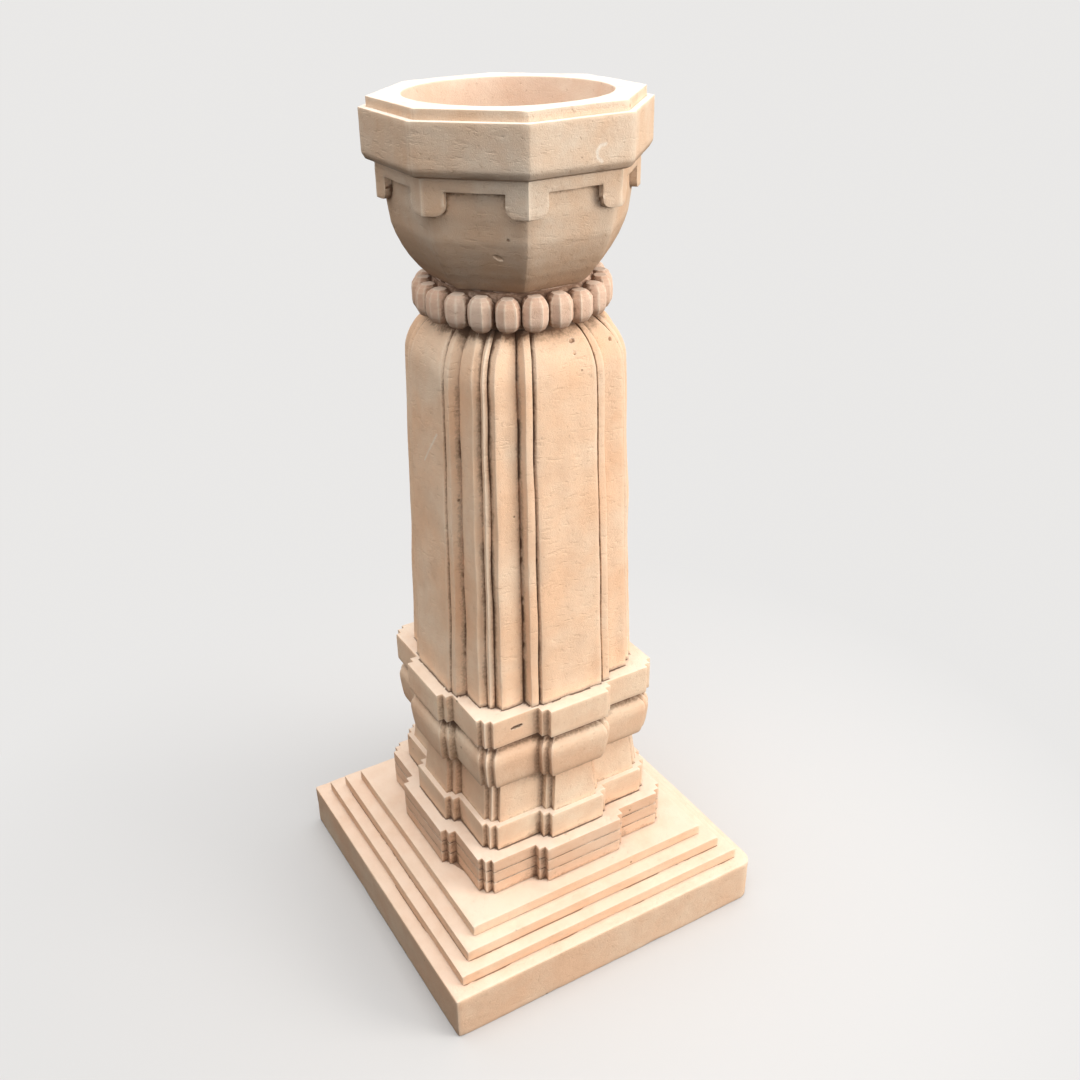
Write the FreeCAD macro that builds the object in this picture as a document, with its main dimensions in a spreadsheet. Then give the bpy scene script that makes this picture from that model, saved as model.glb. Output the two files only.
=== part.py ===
import FreeCAD, Part
import math
import os
import Sketcher

# A sandstone tulsi planter on a carved pedestal. Stone courses are stacked on thin mortar beds and
# pinned through the middle, and the planter bowl lifts off the bead ring. Millimetres, +Z up, with
# the origin in the middle of the underside. The object's front face looks along -Y.

SIZES = {
    # base slab and the three steps, all square in plan
    "base_half": 203.0,
    "base_height": 56.0,
    "base_corner_round": 5.0,
    "step_rise": 14.0,
    "lower_step_half": 187.0,
    "middle_step_half": 171.5,
    "upper_step_half": 155.0,
    # mortar between the courses, raked back from the faces
    "bed_thickness": 1.0,
    "bed_setback": 3.0,
    # stepped plan of the plinth: how far each face stands out, and how wide it is
    "centre_reach": 139.0,
    "centre_half": 49.0,
    "flank_reach": 132.0,
    "flank_half": 56.5,
    "corner_reach": 124.0,
    "corner_half": 111.0,
    "notch_reach": 118.5,
    "plinth_layer_height": 16.0,
    # mouldings above the plinth: their plan is the plinth's, drawn in
    "foot_height": 33.0,
    "foot_inset": 14.5,
    "talus_height": 51.5,
    "talus_foot_inset": 21.0,
    "talus_head_inset": 26.0,
    "torus_height": 60.0,
    "torus_inset": 12.5,
    "torus_quirk_inset": 23.0,
    "cap_height": 35.0,
    "cap_inset": 12.5,
    # shaft: its stepped plan at the foot, its taper and its rounded shoulder
    "shaft_centre_reach": 111.0,
    "shaft_centre_half": 38.0,
    "shaft_flank_reach": 108.4,
    "shaft_flank_half": 49.2,
    "shaft_corner_reach": 97.2,
    "shaft_corner_half": 80.5,
    "shaft_notch_reach": 88.5,
    "shaft_height": 397.0,
    "shaft_taper_share": 0.127,
    "shoulder_height": 47.0,
    "shoulder_depth": 22.0,
    # bead ring between the shaft and the bowl
    "ring_height": 35.0,
    "neck_radius": 76.0,
    "bead_reach": 97.5,
    "bead_count": 22,
    "socket_radius": 46.0,
    "socket_depth": 22.0,
    "weep_width": 8.0,
    # octagonal bowl: radii run to the corners of the octagon
    "bowl_height": 158.5,
    "bowl_foot_radius": 80.0,
    "bowl_belly_radius": 112.0,
    "bowl_belly_height": 50.0,
    "bowl_belly_curve": 100.0,
    "panel_radius": 117.0,
    "tab_radius": 122.5,
    "tab_foot_height": 72.5,
    "tab_half": 20.0,
    "tab_round": 10.5,
    "panel_head_height": 93.0,
    "rim_foot_height": 104.5,
    "rim_radius": 133.6,
    "rim_round": 7.0,
    "lip_radius": 126.3,
    "lip_height": 8.7,
    "mouth_radius": 94.4,
    "cavity_depth": 118.0,
    "cavity_floor_radius": 76.0,
    "cavity_round": 18.0,
    "drain_radius": 8.0,
    "spigot_length": 20.0,
    "spigot_clearance": 1.0,
    # steel pins
    "core_pin_radius": 8.0,
    "core_pin_length": 380.0,
    "core_pin_depth": 36.0,
    "neck_pin_radius": 4.0,
    "neck_pin_length": 60.0,
    "neck_pin_depth": 36.0,
    "neck_pin_spacing": 61.0,
    "pin_clearance": 0.5,
    "pin_chamfer": 1.0,
    # how far a cutting shape runs past what it cuts
    "overrun": 4.0,
}

OCTAGON_SIDES = 8
PLAN_QUARTERS = 4
HALF_SIDE_ANGLE = 180.0 / OCTAGON_SIDES
FLAT_SHARE = math.cos(math.radians(HALF_SIDE_ANGLE))
CORNER_SHARE = math.sin(math.radians(HALF_SIDE_ANGLE))
FULL_TURN = 360.0
UPRIGHT_SHARE = 0.99

# torus moulding from its foot up: share of the height, share of the way from the quirk to the bulge
TORUS_SHARES = (
    (0.0, 0.45),
    (0.08, 0.68),
    (0.25, 0.86),
    (0.62, 1.0),
    (0.75, 0.86),
    (0.85, 0.42),
    (0.90, 0.0),
    (1.0, 0.0),
)
# shoulder of the shaft: shares of a quarter turn cut short at its top
SHOULDER_SHARES = (0.0, 0.3, 0.55, 0.75, 0.9, 1.0)
SHOULDER_TURN = 52.0
SHOULDER_WIDTH_SHARE = 0.5
# beads from their lower end up: share of the height, share of the full reach beyond the neck
BEAD_SHARES = (
    (0.0, 0.0),
    (0.04, 0.35),
    (0.16, 0.78),
    (0.36, 1.0),
    (0.64, 1.0),
    (0.84, 0.78),
    (0.96, 0.35),
    (1.0, 0.0),
)
# notch between two beads in plan: share of the beads' reach beyond the neck, share of their pitch to
# either side of the notch's middle
NOTCH_SHARES = ((0.0, 0.0), (0.55, 0.06), (1.0, 0.31))

doc = FreeCAD.newDocument("tulsi_planter")
sheet = doc.addObject("Spreadsheet::Sheet", "Sizes")
for row, (alias, number) in enumerate(SIZES.items(), start=1):
    sheet.set(f"A{row}", alias)
    sheet.set(f"B{row}", str(number))
    sheet.setAlias(f"B{row}", alias)
doc.recompute()

nodes = []


def size(alias):
    """The expression that reads one cell of the sheet."""
    return f"Sizes.{alias}"


def value(expression):
    """The number an expression has now, for a first placing that the constraints then hold."""
    found = sheet.evalExpression(str(expression))
    return float(getattr(found, "Value", found))


def keep(item, node):
    """Label a finished sub-part and put it on the list of nodes."""
    item.Label = node
    nodes.append(item)


def origin_feature(body, role):
    return next(item for item in body.Origin.OriginFeatures if item.Role == role)


def new_body(name, level):
    """An empty body whose own frame stands at a level above the floor."""
    body = doc.addObject("PartDesign::Body", name)
    body.setExpression("Placement.Base.z", level)
    return body


def new_sketch(body, name, plane="XY_Plane", lift=None, turn=0.0):
    """An empty sketch on an origin plane of the body, lifted along that plane's normal."""
    sketch = body.newObject("Sketcher::SketchObject", name)
    sketch.AttachmentSupport = [(origin_feature(body, plane), "")]
    sketch.MapMode = "FlatFace"
    sketch.AttachmentOffset = FreeCAD.Placement(
        FreeCAD.Vector(), FreeCAD.Rotation(FreeCAD.Vector(0, 0, 1), turn)
    )
    if lift is not None:
        sketch.setExpression("AttachmentOffset.Base.z", lift)
    return sketch


def constrain(sketch, rules, sizes):
    """Add plain constraints, then dimensions that each follow an expression."""
    sketch.addConstraint(rules)
    first = sketch.ConstraintCount
    sketch.addConstraint([dimension for dimension, expression in sizes])
    for number, (dimension, expression) in enumerate(sizes, start=first):
        sketch.setExpression(f"Constraints[{number}]", expression)


def draw_outline(sketch, corners, arcs=None):
    """A closed outline through corners given as expressions, each with its own two dimensions. arcs
    maps the number of an edge to the expression of its radius and the side that its centre lies on:
    1 to the left, -1 to the right."""
    arcs = arcs or {}
    count = len(corners)
    spots = [FreeCAD.Vector(value(x), value(y), 0) for x, y in corners]
    for number in range(count):
        start = spots[number]
        end = spots[(number + 1) % count]
        if number in arcs:
            radius, side = arcs[number]
            sketch.addGeometry(arc_between(start, end, value(radius), side), False)
        else:
            sketch.addGeometry(Part.LineSegment(start, end), False)
    starts = [edge_ends(arcs, number)[0] for number in range(count)]
    ends = [edge_ends(arcs, number)[1] for number in range(count)]
    rules = []
    sizes = []
    for number in range(count):
        after = (number + 1) % count
        rules.append(Sketcher.Constraint("Coincident", number, ends[number], after, starts[after]))
    for number, (x, y) in enumerate(corners):
        for kind, axis, expression, now in (
            ("DistanceX", -2, x, spots[number].x),
            ("DistanceY", -1, y, spots[number].y),
        ):
            if expression == "0":
                rules.append(Sketcher.Constraint("PointOnObject", number, starts[number], axis))
            else:
                dimension = Sketcher.Constraint(kind, number, starts[number], now)
                sizes.append((dimension, expression))
    for number, (radius, side) in arcs.items():
        sizes.append((Sketcher.Constraint("Radius", number, value(radius)), radius))
    constrain(sketch, rules, sizes)


def draw_square_cornered(sketch, corners):
    """A closed outline of upright and level edges through corners given as expressions. Each edge
    has one dimension, its distance from the sketch's axis."""
    spots = [FreeCAD.Vector(value(x), value(y), 0) for x, y in corners]
    count = len(corners)
    rules = []
    sizes = []
    for number, (x, y) in enumerate(corners):
        after = (number + 1) % count
        sketch.addGeometry(Part.LineSegment(spots[number], spots[after]), False)
        rules.append(Sketcher.Constraint("Coincident", number, 2, after, 1))
        if corners[after][0] == x:
            direction, kind, axis, expression, now = "Vertical", "DistanceX", -2, x, spots[number].x
        else:
            direction, kind, axis, expression, now = "Horizontal", "DistanceY", -1, y, spots[number].y
        rules.append(Sketcher.Constraint(direction, number))
        if expression == "0":
            rules.append(Sketcher.Constraint("PointOnObject", number, 1, axis))
        else:
            sizes.append((Sketcher.Constraint(kind, number, 1, now), expression))
    constrain(sketch, rules, sizes)


def arc_between(start, end, radius, side):
    """The short arc from start to end with its centre to the left (1) or right (-1)."""
    chord = end - start
    middle = (start + end) * 0.5
    reach = math.sqrt(max(radius**2 - (chord.Length / 2) ** 2, 0.0))
    left = FreeCAD.Vector(-chord.y, chord.x, 0).normalize()
    centre = middle + left * (side * reach)
    first, last = (start, end) if side > 0 else (end, start)
    circle = Part.Circle(centre, FreeCAD.Vector(0, 0, 1), radius)
    return Part.ArcOfCircle(circle, circle.parameter(first), circle.parameter(last))


def edge_ends(arcs, number):
    """Sketch point numbers of an edge's start and end. An arc drawn clockwise has them swapped."""
    if number in arcs and arcs[number][1] < 0:
        return 2, 1
    return 1, 2


def draw_circle(sketch, radius, across="0"):
    """A circle about a point on the sketch's X axis."""
    centre = FreeCAD.Vector(value(across), 0, 0)
    sketch.addGeometry(Part.Circle(centre, FreeCAD.Vector(0, 0, 1), value(radius)), False)
    rules = [Sketcher.Constraint("PointOnObject", 0, 3, -1)]
    sizes = [(Sketcher.Constraint("Radius", 0, value(radius)), radius)]
    if across == "0":
        rules.append(Sketcher.Constraint("PointOnObject", 0, 3, -2))
    else:
        sizes.append((Sketcher.Constraint("DistanceX", 0, 3, centre.x), across))
    constrain(sketch, rules, sizes)


def draw_square(sketch, half):
    """A square centred on the sketch's origin."""
    reach = value(half)
    spots = [
        FreeCAD.Vector(x * reach, y * reach, 0) for x, y in ((-1, -1), (1, -1), (1, 1), (-1, 1))
    ]
    for number in range(len(spots)):
        after = (number + 1) % len(spots)
        sketch.addGeometry(Part.LineSegment(spots[number], spots[after]), False)
    rules = [
        Sketcher.Constraint("Coincident", number, 2, (number + 1) % len(spots), 1)
        for number in range(len(spots))
    ]
    for number, direction in enumerate(("Horizontal", "Vertical", "Horizontal", "Vertical")):
        rules.append(Sketcher.Constraint(direction, number))
    rules.append(Sketcher.Constraint("Symmetric", 0, 1, 1, 2, -1, 1))
    rules.append(Sketcher.Constraint("Equal", 0, 1))
    width = Sketcher.Constraint("DistanceX", 0, 1, 0, 2, 2 * reach)
    constrain(sketch, rules, [(width, f"2 * ({half})")])


def pad(body, sketch, length):
    feature = body.newObject("PartDesign::Pad", sketch.Name + "_pad")
    feature.Profile = sketch
    feature.setExpression("Length", length)
    return feature


def pocket(body, sketch, depth=None, upwards=True, midplane=False):
    """Cut a sketch out of the body: upwards along the sketch's normal, or the other way. The cut
    goes through everything where no depth is given."""
    doc.recompute()
    before = body.Shape.Volume
    feature = body.newObject("PartDesign::Pocket", sketch.Name + "_pocket")
    feature.Profile = sketch
    feature.Midplane = midplane
    feature.Reversed = upwards
    if depth is None:
        feature.Type = "ThroughAll"
    else:
        feature.setExpression("Length", depth)
    doc.recompute()
    if not body.Shape.Volume < before:
        raise RuntimeError(f"{feature.Name} cuts nothing")
    return feature


def loft(body, name, sketches):
    feature = body.newObject("PartDesign::AdditiveLoft", name)
    feature.Profile = sketches[0]
    feature.Sections = sketches[1:]
    feature.Ruled = True
    return feature


def round_pattern(body, name, originals, count, bound=None):
    """Repeat features about the body's own Z axis."""
    feature = body.newObject("PartDesign::PolarPattern", name)
    feature.Originals = originals
    feature.Axis = (origin_feature(body, "Z_Axis"), [""])
    feature.Angle = FULL_TURN
    feature.Occurrences = count
    if bound:
        feature.setExpression("Occurrences", bound)
    body.Tip = feature


def stepped_plan(prefix="", scale="1", inset="0", width_share=1.0):
    """Seven expressions of a stepped plan: the reach of the centre, flank, corner and notch faces,
    then the half widths of the corner, flank and centre faces."""
    reaches = ("centre_reach", "flank_reach", "corner_reach", "notch_reach", "corner_half")
    halves = ("flank_half", "centre_half")
    plan = [f"{size(prefix + name)} * ({scale}) - ({inset})" for name in reaches]
    plan += [f"{size(prefix + name)} * ({scale}) - ({inset}) * {width_share}" for name in halves]
    return plan


def draw_stepped_quarter(sketch, plan):
    """One quarter of a stepped plan, from the middle of the +X face round to the +Y face."""
    centre, flank, corner, notch, corner_half, flank_half, centre_half = plan
    rising = (
        (centre, "0"),
        (centre, centre_half),
        (flank, centre_half),
        (flank, flank_half),
        (corner, flank_half),
        (corner, corner_half),
        (notch, corner_half),
    )
    mirrored = tuple((y, x) for x, y in reversed(rising))
    draw_square_cornered(sketch, (("0", "0"),) + rising + ((notch, notch),) + mirrored)


def stepped_prism(body, name, plan, height):
    """A straight course on a stepped plan."""
    sketch = new_sketch(body, name + "_plan")
    draw_stepped_quarter(sketch, plan)
    quarter = pad(body, sketch, height)
    round_pattern(body, name + "_round", [quarter], PLAN_QUARTERS)


def stepped_loft(body, name, sections):
    """A moulded course through stepped plans at rising levels."""
    sketches = []
    for number, (lift, plan) in enumerate(sections):
        sketch = new_sketch(body, f"{name}_plan_{number}", lift=lift)
        draw_stepped_quarter(sketch, plan)
        sketches.append(sketch)
    quarter = loft(body, name + "_loft", sketches)
    round_pattern(body, name + "_round", [quarter], PLAN_QUARTERS)


def pin_hole(body, name, radius, depth=None, lift=None, upwards=True, across="0"):
    """A round hole for a pin with its clearance."""
    sketch = new_sketch(body, name, lift=lift)
    draw_circle(sketch, f"{size(radius)} + {size('pin_clearance')}", across)
    pocket(body, sketch, depth, upwards)


def check(item):
    """Stop on a failed object or a shape that isn't a sound solid."""
    shape = item.Shape
    if shape.isNull() or not shape.isValid() or not shape.Solids:
        raise RuntimeError(f"{item.Label} has no valid solid")


# The courses from the floor up, each with its height and with the mortar under it.
STONE_HEIGHTS = [
    ("base_slab", size("base_height")),
    ("step_slab_lower", size("step_rise")),
    ("step_slab_middle", size("step_rise")),
    ("step_slab_upper", size("step_rise")),
    ("plinth_slab_lower", size("plinth_layer_height")),
    ("plinth_slab_middle", size("plinth_layer_height")),
    ("plinth_slab_upper", size("plinth_layer_height")),
    ("foot_course", f"({size('foot_height')} + {size('talus_height')})"),
    ("torus_course", size("torus_height")),
    ("cap_course", size("cap_height")),
    ("shaft", size("shaft_height")),
    ("bead_ring", size("ring_height")),
    ("bowl", size("bowl_height")),
]
BED = size("bed_thickness")
level = "0"
levels = {}
for course, course_height in STONE_HEIGHTS:
    levels[course] = level
    level = f"{level} + {course_height}" if level != "0" else course_height


def stone_body(course):
    """The body of a stone that lies on a mortar bed."""
    return new_body(course, f"{levels[course]} + {BED}")


def bed_body(course):
    """The body of the mortar under a stone."""
    return new_body("mortar_under_" + course, levels[course])


def make_base_slab():
    body = new_body("base_slab", "0")
    sketch = new_sketch(body, "base_plan")
    draw_square(sketch, size("base_half"))
    slab = pad(body, sketch, size("base_height"))
    doc.recompute()
    upright = [
        f"Edge{number}"
        for number, edge in enumerate(slab.Shape.Edges, start=1)
        if abs(edge.tangentAt(edge.FirstParameter).z) > UPRIGHT_SHARE
    ]
    corners = body.newObject("PartDesign::Fillet", "base_corners")
    corners.Base = (slab, upright)
    corners.setExpression("Radius", size("base_corner_round"))
    body.Tip = corners
    pin_hole(
        body,
        "base_pin_hole",
        "core_pin_radius",
        depth=size("core_pin_depth"),
        lift=size("base_height"),
        upwards=False,
    )
    keep(body, "base_slab")


def make_step(course, half):
    body = stone_body(course)
    sketch = new_sketch(body, course + "_plan")
    draw_square(sketch, size(half))
    pad(body, sketch, f"{size('step_rise')} - {BED}")
    pin_hole(body, course + "_hole", "core_pin_radius")
    keep(body, course)
    bed = bed_body(course)
    sketch = new_sketch(bed, "bed_" + course)
    draw_square(sketch, f"{size(half)} - {size('bed_setback')}")
    pad(bed, sketch, BED)
    pin_hole(bed, "bed_hole_" + course, "core_pin_radius")
    keep(bed, "mortar_under_" + course)


def make_stepped_bed(course, plan):
    bed = bed_body(course)
    stepped_prism(bed, "bed_" + course, plan, BED)
    pin_hole(bed, "bed_hole_" + course, "core_pin_radius")
    keep(bed, "mortar_under_" + course)


def make_plinth_slab(course):
    body = stone_body(course)
    height = f"{size('plinth_layer_height')} - {BED}"
    stepped_prism(body, course, stepped_plan(), height)
    pin_hole(body, course + "_hole", "core_pin_radius")
    keep(body, course)
    make_stepped_bed(course, stepped_plan(inset=size("bed_setback")))


def make_foot_course():
    """A square-edged ledge with a steep batter above it, cut from one stone."""
    body = stone_body("foot_course")
    ledge = f"{size('foot_height')} - {BED}"
    sections = (
        (None, stepped_plan(inset=size("foot_inset"))),
        (ledge, stepped_plan(inset=size("foot_inset"))),
    )
    stepped_loft(body, "ledge", sections)
    sections = (
        (ledge, stepped_plan(inset=size("talus_foot_inset"))),
        (f"{ledge} + {size('talus_height')}", stepped_plan(inset=size("talus_head_inset"))),
    )
    stepped_loft(body, "talus", sections)
    pin_hole(body, "foot_course_hole", "core_pin_radius")
    keep(body, "foot_course")
    inset = f"{size('foot_inset')} + {size('bed_setback')}"
    make_stepped_bed("foot_course", stepped_plan(inset=inset))


def make_torus_course():
    body = stone_body("torus_course")
    height = f"({size('torus_height')} - {BED})"
    bulge = f"({size('torus_quirk_inset')} - {size('torus_inset')})"
    sections = []
    for height_share, bulge_share in TORUS_SHARES:
        lift = f"{height} * {height_share}" if height_share else None
        inset = f"{size('torus_quirk_inset')} - {bulge} * {bulge_share}"
        sections.append((lift, stepped_plan(inset=inset)))
    stepped_loft(body, "torus", sections)
    pin_hole(body, "torus_course_hole", "core_pin_radius")
    keep(body, "torus_course")
    inset = f"{size('talus_head_inset')} + {size('bed_setback')}"
    make_stepped_bed("torus_course", stepped_plan(inset=inset))


def make_cap_course():
    body = stone_body("cap_course")
    height = f"{size('cap_height')} - {BED}"
    stepped_prism(body, "cap", stepped_plan(inset=size("cap_inset")), height)
    pin_hole(body, "cap_course_hole", "core_pin_radius")
    keep(body, "cap_course")
    inset = f"{size('torus_quirk_inset')} + {size('bed_setback')}"
    make_stepped_bed("cap_course", stepped_plan(inset=inset))


def make_shaft():
    """The tapering shaft. Its faces round inwards at the shoulder, and the centre and flank faces
    narrow there as well."""
    body = stone_body("shaft")
    height = f"({size('shaft_height')} - {BED})"
    shoulder = size("shoulder_height")
    sections = [(None, stepped_plan("shaft_"))]
    for share in SHOULDER_SHARES:
        turn = math.radians(SHOULDER_TURN * share)
        rise_share = math.sin(turn) / math.sin(math.radians(SHOULDER_TURN))
        depth_share = (1 - math.cos(turn)) / (1 - math.cos(math.radians(SHOULDER_TURN)))
        lift = f"({height} - {shoulder} * {1 - rise_share})"
        taper = f"1 - {size('shaft_taper_share')} * {lift} / {height}"
        inset = f"{size('shoulder_depth')} * {depth_share}"
        sections.append((lift, stepped_plan("shaft_", taper, inset, SHOULDER_WIDTH_SHARE)))
    stepped_loft(body, "shaft", sections)
    reach = f"{size('core_pin_length')} - {size('core_pin_depth')}"
    depth = f"{reach} - ({levels['shaft']} + {BED} - {size('base_height')}) + {size('overrun')}"
    pin_hole(body, "shaft_foot_hole", "core_pin_radius", depth=depth)
    for side in (1, -1):
        neck_pin_hole(body, f"shaft_head_hole_{'right' if side > 0 else 'left'}", side, height)
    keep(body, "shaft")
    make_stepped_bed("shaft", stepped_plan("shaft_", inset=size("bed_setback")))


def neck_pin_hole(body, name, side, top):
    """A blind hole in the head of the shaft, to the right (1) or left (-1) of its axis."""
    sketch = new_sketch(body, name, lift=top, turn=0.0 if side > 0 else 180.0)
    radius = f"{size('neck_pin_radius')} + {size('pin_clearance')}"
    draw_circle(sketch, radius, across=size("neck_pin_spacing"))
    pocket(body, sketch, size("neck_pin_depth"), upwards=False)


def make_bead_ring():
    """A plain neck with a roll round it, notched into beads. The bowl's spigot stands in its socket,
    and a weep groove lets water out of the socket between two beads at the back."""
    body = stone_body("bead_ring")
    height = f"({size('ring_height')} - {BED})"
    reach = f"({size('bead_reach')} - {size('neck_radius')})"
    roll = new_sketch(body, "roll_profile", plane="XZ_Plane")
    corners = [("0", "0")]
    for height_share, reach_share in BEAD_SHARES:
        across = f"{size('neck_radius')} + {reach} * {reach_share}"
        corners.append((across, f"{height} * {height_share}" if height_share else "0"))
    corners.append(("0", height))
    draw_outline(roll, corners)
    turned = body.newObject("PartDesign::Revolution", "roll")
    turned.Profile = roll
    turned.ReferenceAxis = (roll, ["V_Axis"])
    turned.Angle = FULL_TURN

    count = SIZES["bead_count"]
    notch = new_sketch(body, "notch_plan", turn=FULL_TURN * 0.5 / count - 90.0)
    pitch = f"({size('bead_reach')} * {2 * math.pi / count})"
    across = [f"{size('neck_radius')} + {reach} * {share}" for share, spread in NOTCH_SHARES]
    spread = [f"{pitch} * {share}" for reach_share, share in NOTCH_SHARES]
    beyond = f"{size('bead_reach')} + {size('overrun')}"
    corners = (
        (across[0], "0"),
        (across[1], spread[1]),
        (across[2], spread[2]),
        (beyond, spread[2]),
        (beyond, f"-{spread[2]}"),
        (across[2], f"-{spread[2]}"),
        (across[1], f"-{spread[1]}"),
    )
    draw_outline(notch, corners)
    cut = pocket(body, notch)
    round_pattern(body, "notches", [cut], count, size("bead_count"))
    socket = new_sketch(body, "socket_plan", lift=height)
    draw_circle(socket, size("socket_radius"))
    pocket(body, socket, size("socket_depth"), upwards=False)
    gap_angle = 90.0 - FULL_TURN * 0.5 / count
    weep = new_sketch(body, "weep_plan", lift=height, turn=gap_angle)
    half = f"{size('weep_width')} / 2"
    reach = f"{size('bead_reach')} + {size('overrun')}"
    corners = (("0", f"-{half}"), (reach, f"-{half}"), (reach, half), ("0", half))
    draw_outline(weep, corners)
    pocket(body, weep, size("socket_depth"), upwards=False)
    for side in (1, -1):
        name = f"ring_hole_{'right' if side > 0 else 'left'}"
        sketch = new_sketch(body, name, turn=0.0 if side > 0 else 180.0)
        radius = f"{size('neck_pin_radius')} + {size('pin_clearance')}"
        draw_circle(sketch, radius, across=size("neck_pin_spacing"))
        depth = f"{size('neck_pin_length')} - {size('neck_pin_depth')} - {BED} + {size('pin_clearance')}"
        pocket(body, sketch, depth)
    keep(body, "bead_ring")
    bed = bed_body("bead_ring")
    sketch = new_sketch(bed, "bed_bead_ring")
    draw_circle(sketch, f"{size('neck_radius')} - {size('bed_setback')}")
    pad(bed, sketch, BED)
    for side in (1, -1):
        name = f"bed_ring_hole_{'right' if side > 0 else 'left'}"
        sketch = new_sketch(bed, name, turn=0.0 if side > 0 else 180.0)
        radius = f"{size('neck_pin_radius')} + {size('pin_clearance')}"
        draw_circle(sketch, radius, across=size("neck_pin_spacing"))
        pocket(bed, sketch)
    keep(bed, "mortar_under_bead_ring")


def flat(radius):
    """The distance from the bowl's axis to a flat of the octagon with this corner radius."""
    return f"({size(radius)} * {FLAT_SHARE})"


def make_bowl():
    """An octagonal block, moulded alike on its eight faces, hollowed from the top and drilled
    through its floor. It stands dry on the bead ring with a spigot in the socket."""
    body = new_body("bowl", levels["bowl"])
    block = body.newObject("PartDesign::AdditivePrism", "block")
    block.AttachmentSupport = [(origin_feature(body, "XY_Plane"), "")]
    block.MapMode = "FlatFace"
    turn = FreeCAD.Rotation(FreeCAD.Vector(0, 0, 1), HALF_SIDE_ANGLE)
    block.AttachmentOffset = FreeCAD.Placement(FreeCAD.Vector(), turn)
    block.Polygon = OCTAGON_SIDES
    block.setExpression("Circumradius", size("rim_radius"))
    block.setExpression("Height", size("bowl_height"))

    beyond = f"{flat('rim_radius')} + {size('overrun')}"
    rim_foot = size("rim_foot_height")
    rim_start = f"{rim_foot} + {size('rim_round')}"
    profile = new_sketch(body, "face_moulding", plane="XZ_Plane")
    corners = (
        (flat("bowl_foot_radius"), "0"),
        (flat("bowl_belly_radius"), size("bowl_belly_height")),
        (flat("panel_radius"), size("tab_foot_height")),
        (flat("tab_radius"), size("tab_foot_height")),
        (flat("tab_radius"), rim_foot),
        (f"{flat('rim_radius')} - {size('rim_round')}", rim_foot),
        (flat("rim_radius"), rim_start),
        (beyond, rim_start),
        (beyond, "0"),
    )
    arcs = {0: (size("bowl_belly_curve"), 1), 5: (size("rim_round"), 1)}
    draw_outline(profile, corners, arcs)
    moulding = pocket(body, profile, midplane=True)

    step = new_sketch(body, "lip_step", plane="XZ_Plane")
    lip_foot = f"{size('bowl_height')} - {size('lip_height')}"
    top = f"{size('bowl_height')} + {size('overrun')}"
    corners = ((flat("lip_radius"), lip_foot), (beyond, lip_foot), (beyond, top), (flat("lip_radius"), top))
    draw_outline(step, corners)
    lip = pocket(body, step, midplane=True)

    # one panel between two tabs, drawn from the left end of its foot
    edge = f"({size('tab_radius')} * {CORNER_SHARE})"
    inner = f"({edge} - {size('tab_half')})"
    bend = size("tab_round")
    panel = new_sketch(body, "panel_outline", plane="YZ_Plane", lift=flat("panel_radius"))
    panel.setExpression("AttachmentOffset.Base.x", f"-({inner} + {bend})")
    foot = size("tab_foot_height")
    head = size("panel_head_height")
    right = f"2 * {inner} + {bend}"
    corners = (
        ("0", foot),
        (f"{right} + {bend}", foot),
        (right, f"{foot} + {bend}"),
        (right, head),
        (bend, head),
        (bend, f"{foot} + {bend}"),
    )
    draw_outline(panel, corners, {1: (bend, -1), 5: (bend, -1)})
    depth = f"{flat('tab_radius')} - {flat('panel_radius')} + {size('overrun')}"
    recess = pocket(body, panel, depth)
    round_pattern(body, "eight_faces", [moulding, lip, recess], OCTAGON_SIDES)

    spigot = new_sketch(body, "spigot_plan")
    draw_circle(spigot, f"{size('socket_radius')} - {size('spigot_clearance')}")
    stub = pad(body, spigot, size("spigot_length"))
    stub.Reversed = True

    cavity = new_sketch(body, "cavity_profile", plane="XZ_Plane")
    floor = f"({size('bowl_height')} - {size('cavity_depth')})"
    wide = size("cavity_floor_radius")
    turn_in = size("cavity_round")
    corners = (
        ("0", floor),
        (f"{wide} - {turn_in}", floor),
        (wide, f"{floor} + {turn_in}"),
        (size("mouth_radius"), size("bowl_height")),
        (size("mouth_radius"), top),
        ("0", top),
    )
    draw_outline(cavity, corners, {1: (turn_in, 1)})
    doc.recompute()
    before = body.Shape.Volume
    hollow = body.newObject("PartDesign::Groove", "cavity")
    hollow.Profile = cavity
    hollow.ReferenceAxis = (cavity, ["V_Axis"])
    hollow.Angle = FULL_TURN
    doc.recompute()
    if not body.Shape.Volume < before:
        raise RuntimeError("the cavity cuts nothing")

    drain = new_sketch(body, "drain_plan", lift=f"-{size('spigot_length')}")
    draw_circle(drain, size("drain_radius"))
    pocket(body, drain)
    keep(body, "bowl")


def steel_pin(name, radius, length, level):
    """A round bar with both ends chamfered."""
    body = new_body(name, level)
    sketch = new_sketch(body, name + "_round")
    draw_circle(sketch, size(radius))
    bar = pad(body, sketch, size(length))
    doc.recompute()
    rims = [
        f"Edge{number}"
        for number, edge in enumerate(bar.Shape.Edges, start=1)
        if isinstance(edge.Curve, Part.Circle)
    ]
    ends = body.newObject("PartDesign::Chamfer", name + "_ends")
    ends.Base = (bar, rims)
    ends.setExpression("Size", size("pin_chamfer"))
    body.Tip = ends
    return body


def make_core_pin():
    """The bar that strings the courses together from the base slab up into the shaft."""
    level = f"{size('base_height')} - {size('core_pin_depth')}"
    keep(steel_pin("core_pin", "core_pin_radius", "core_pin_length", level), "core_pin")


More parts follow.
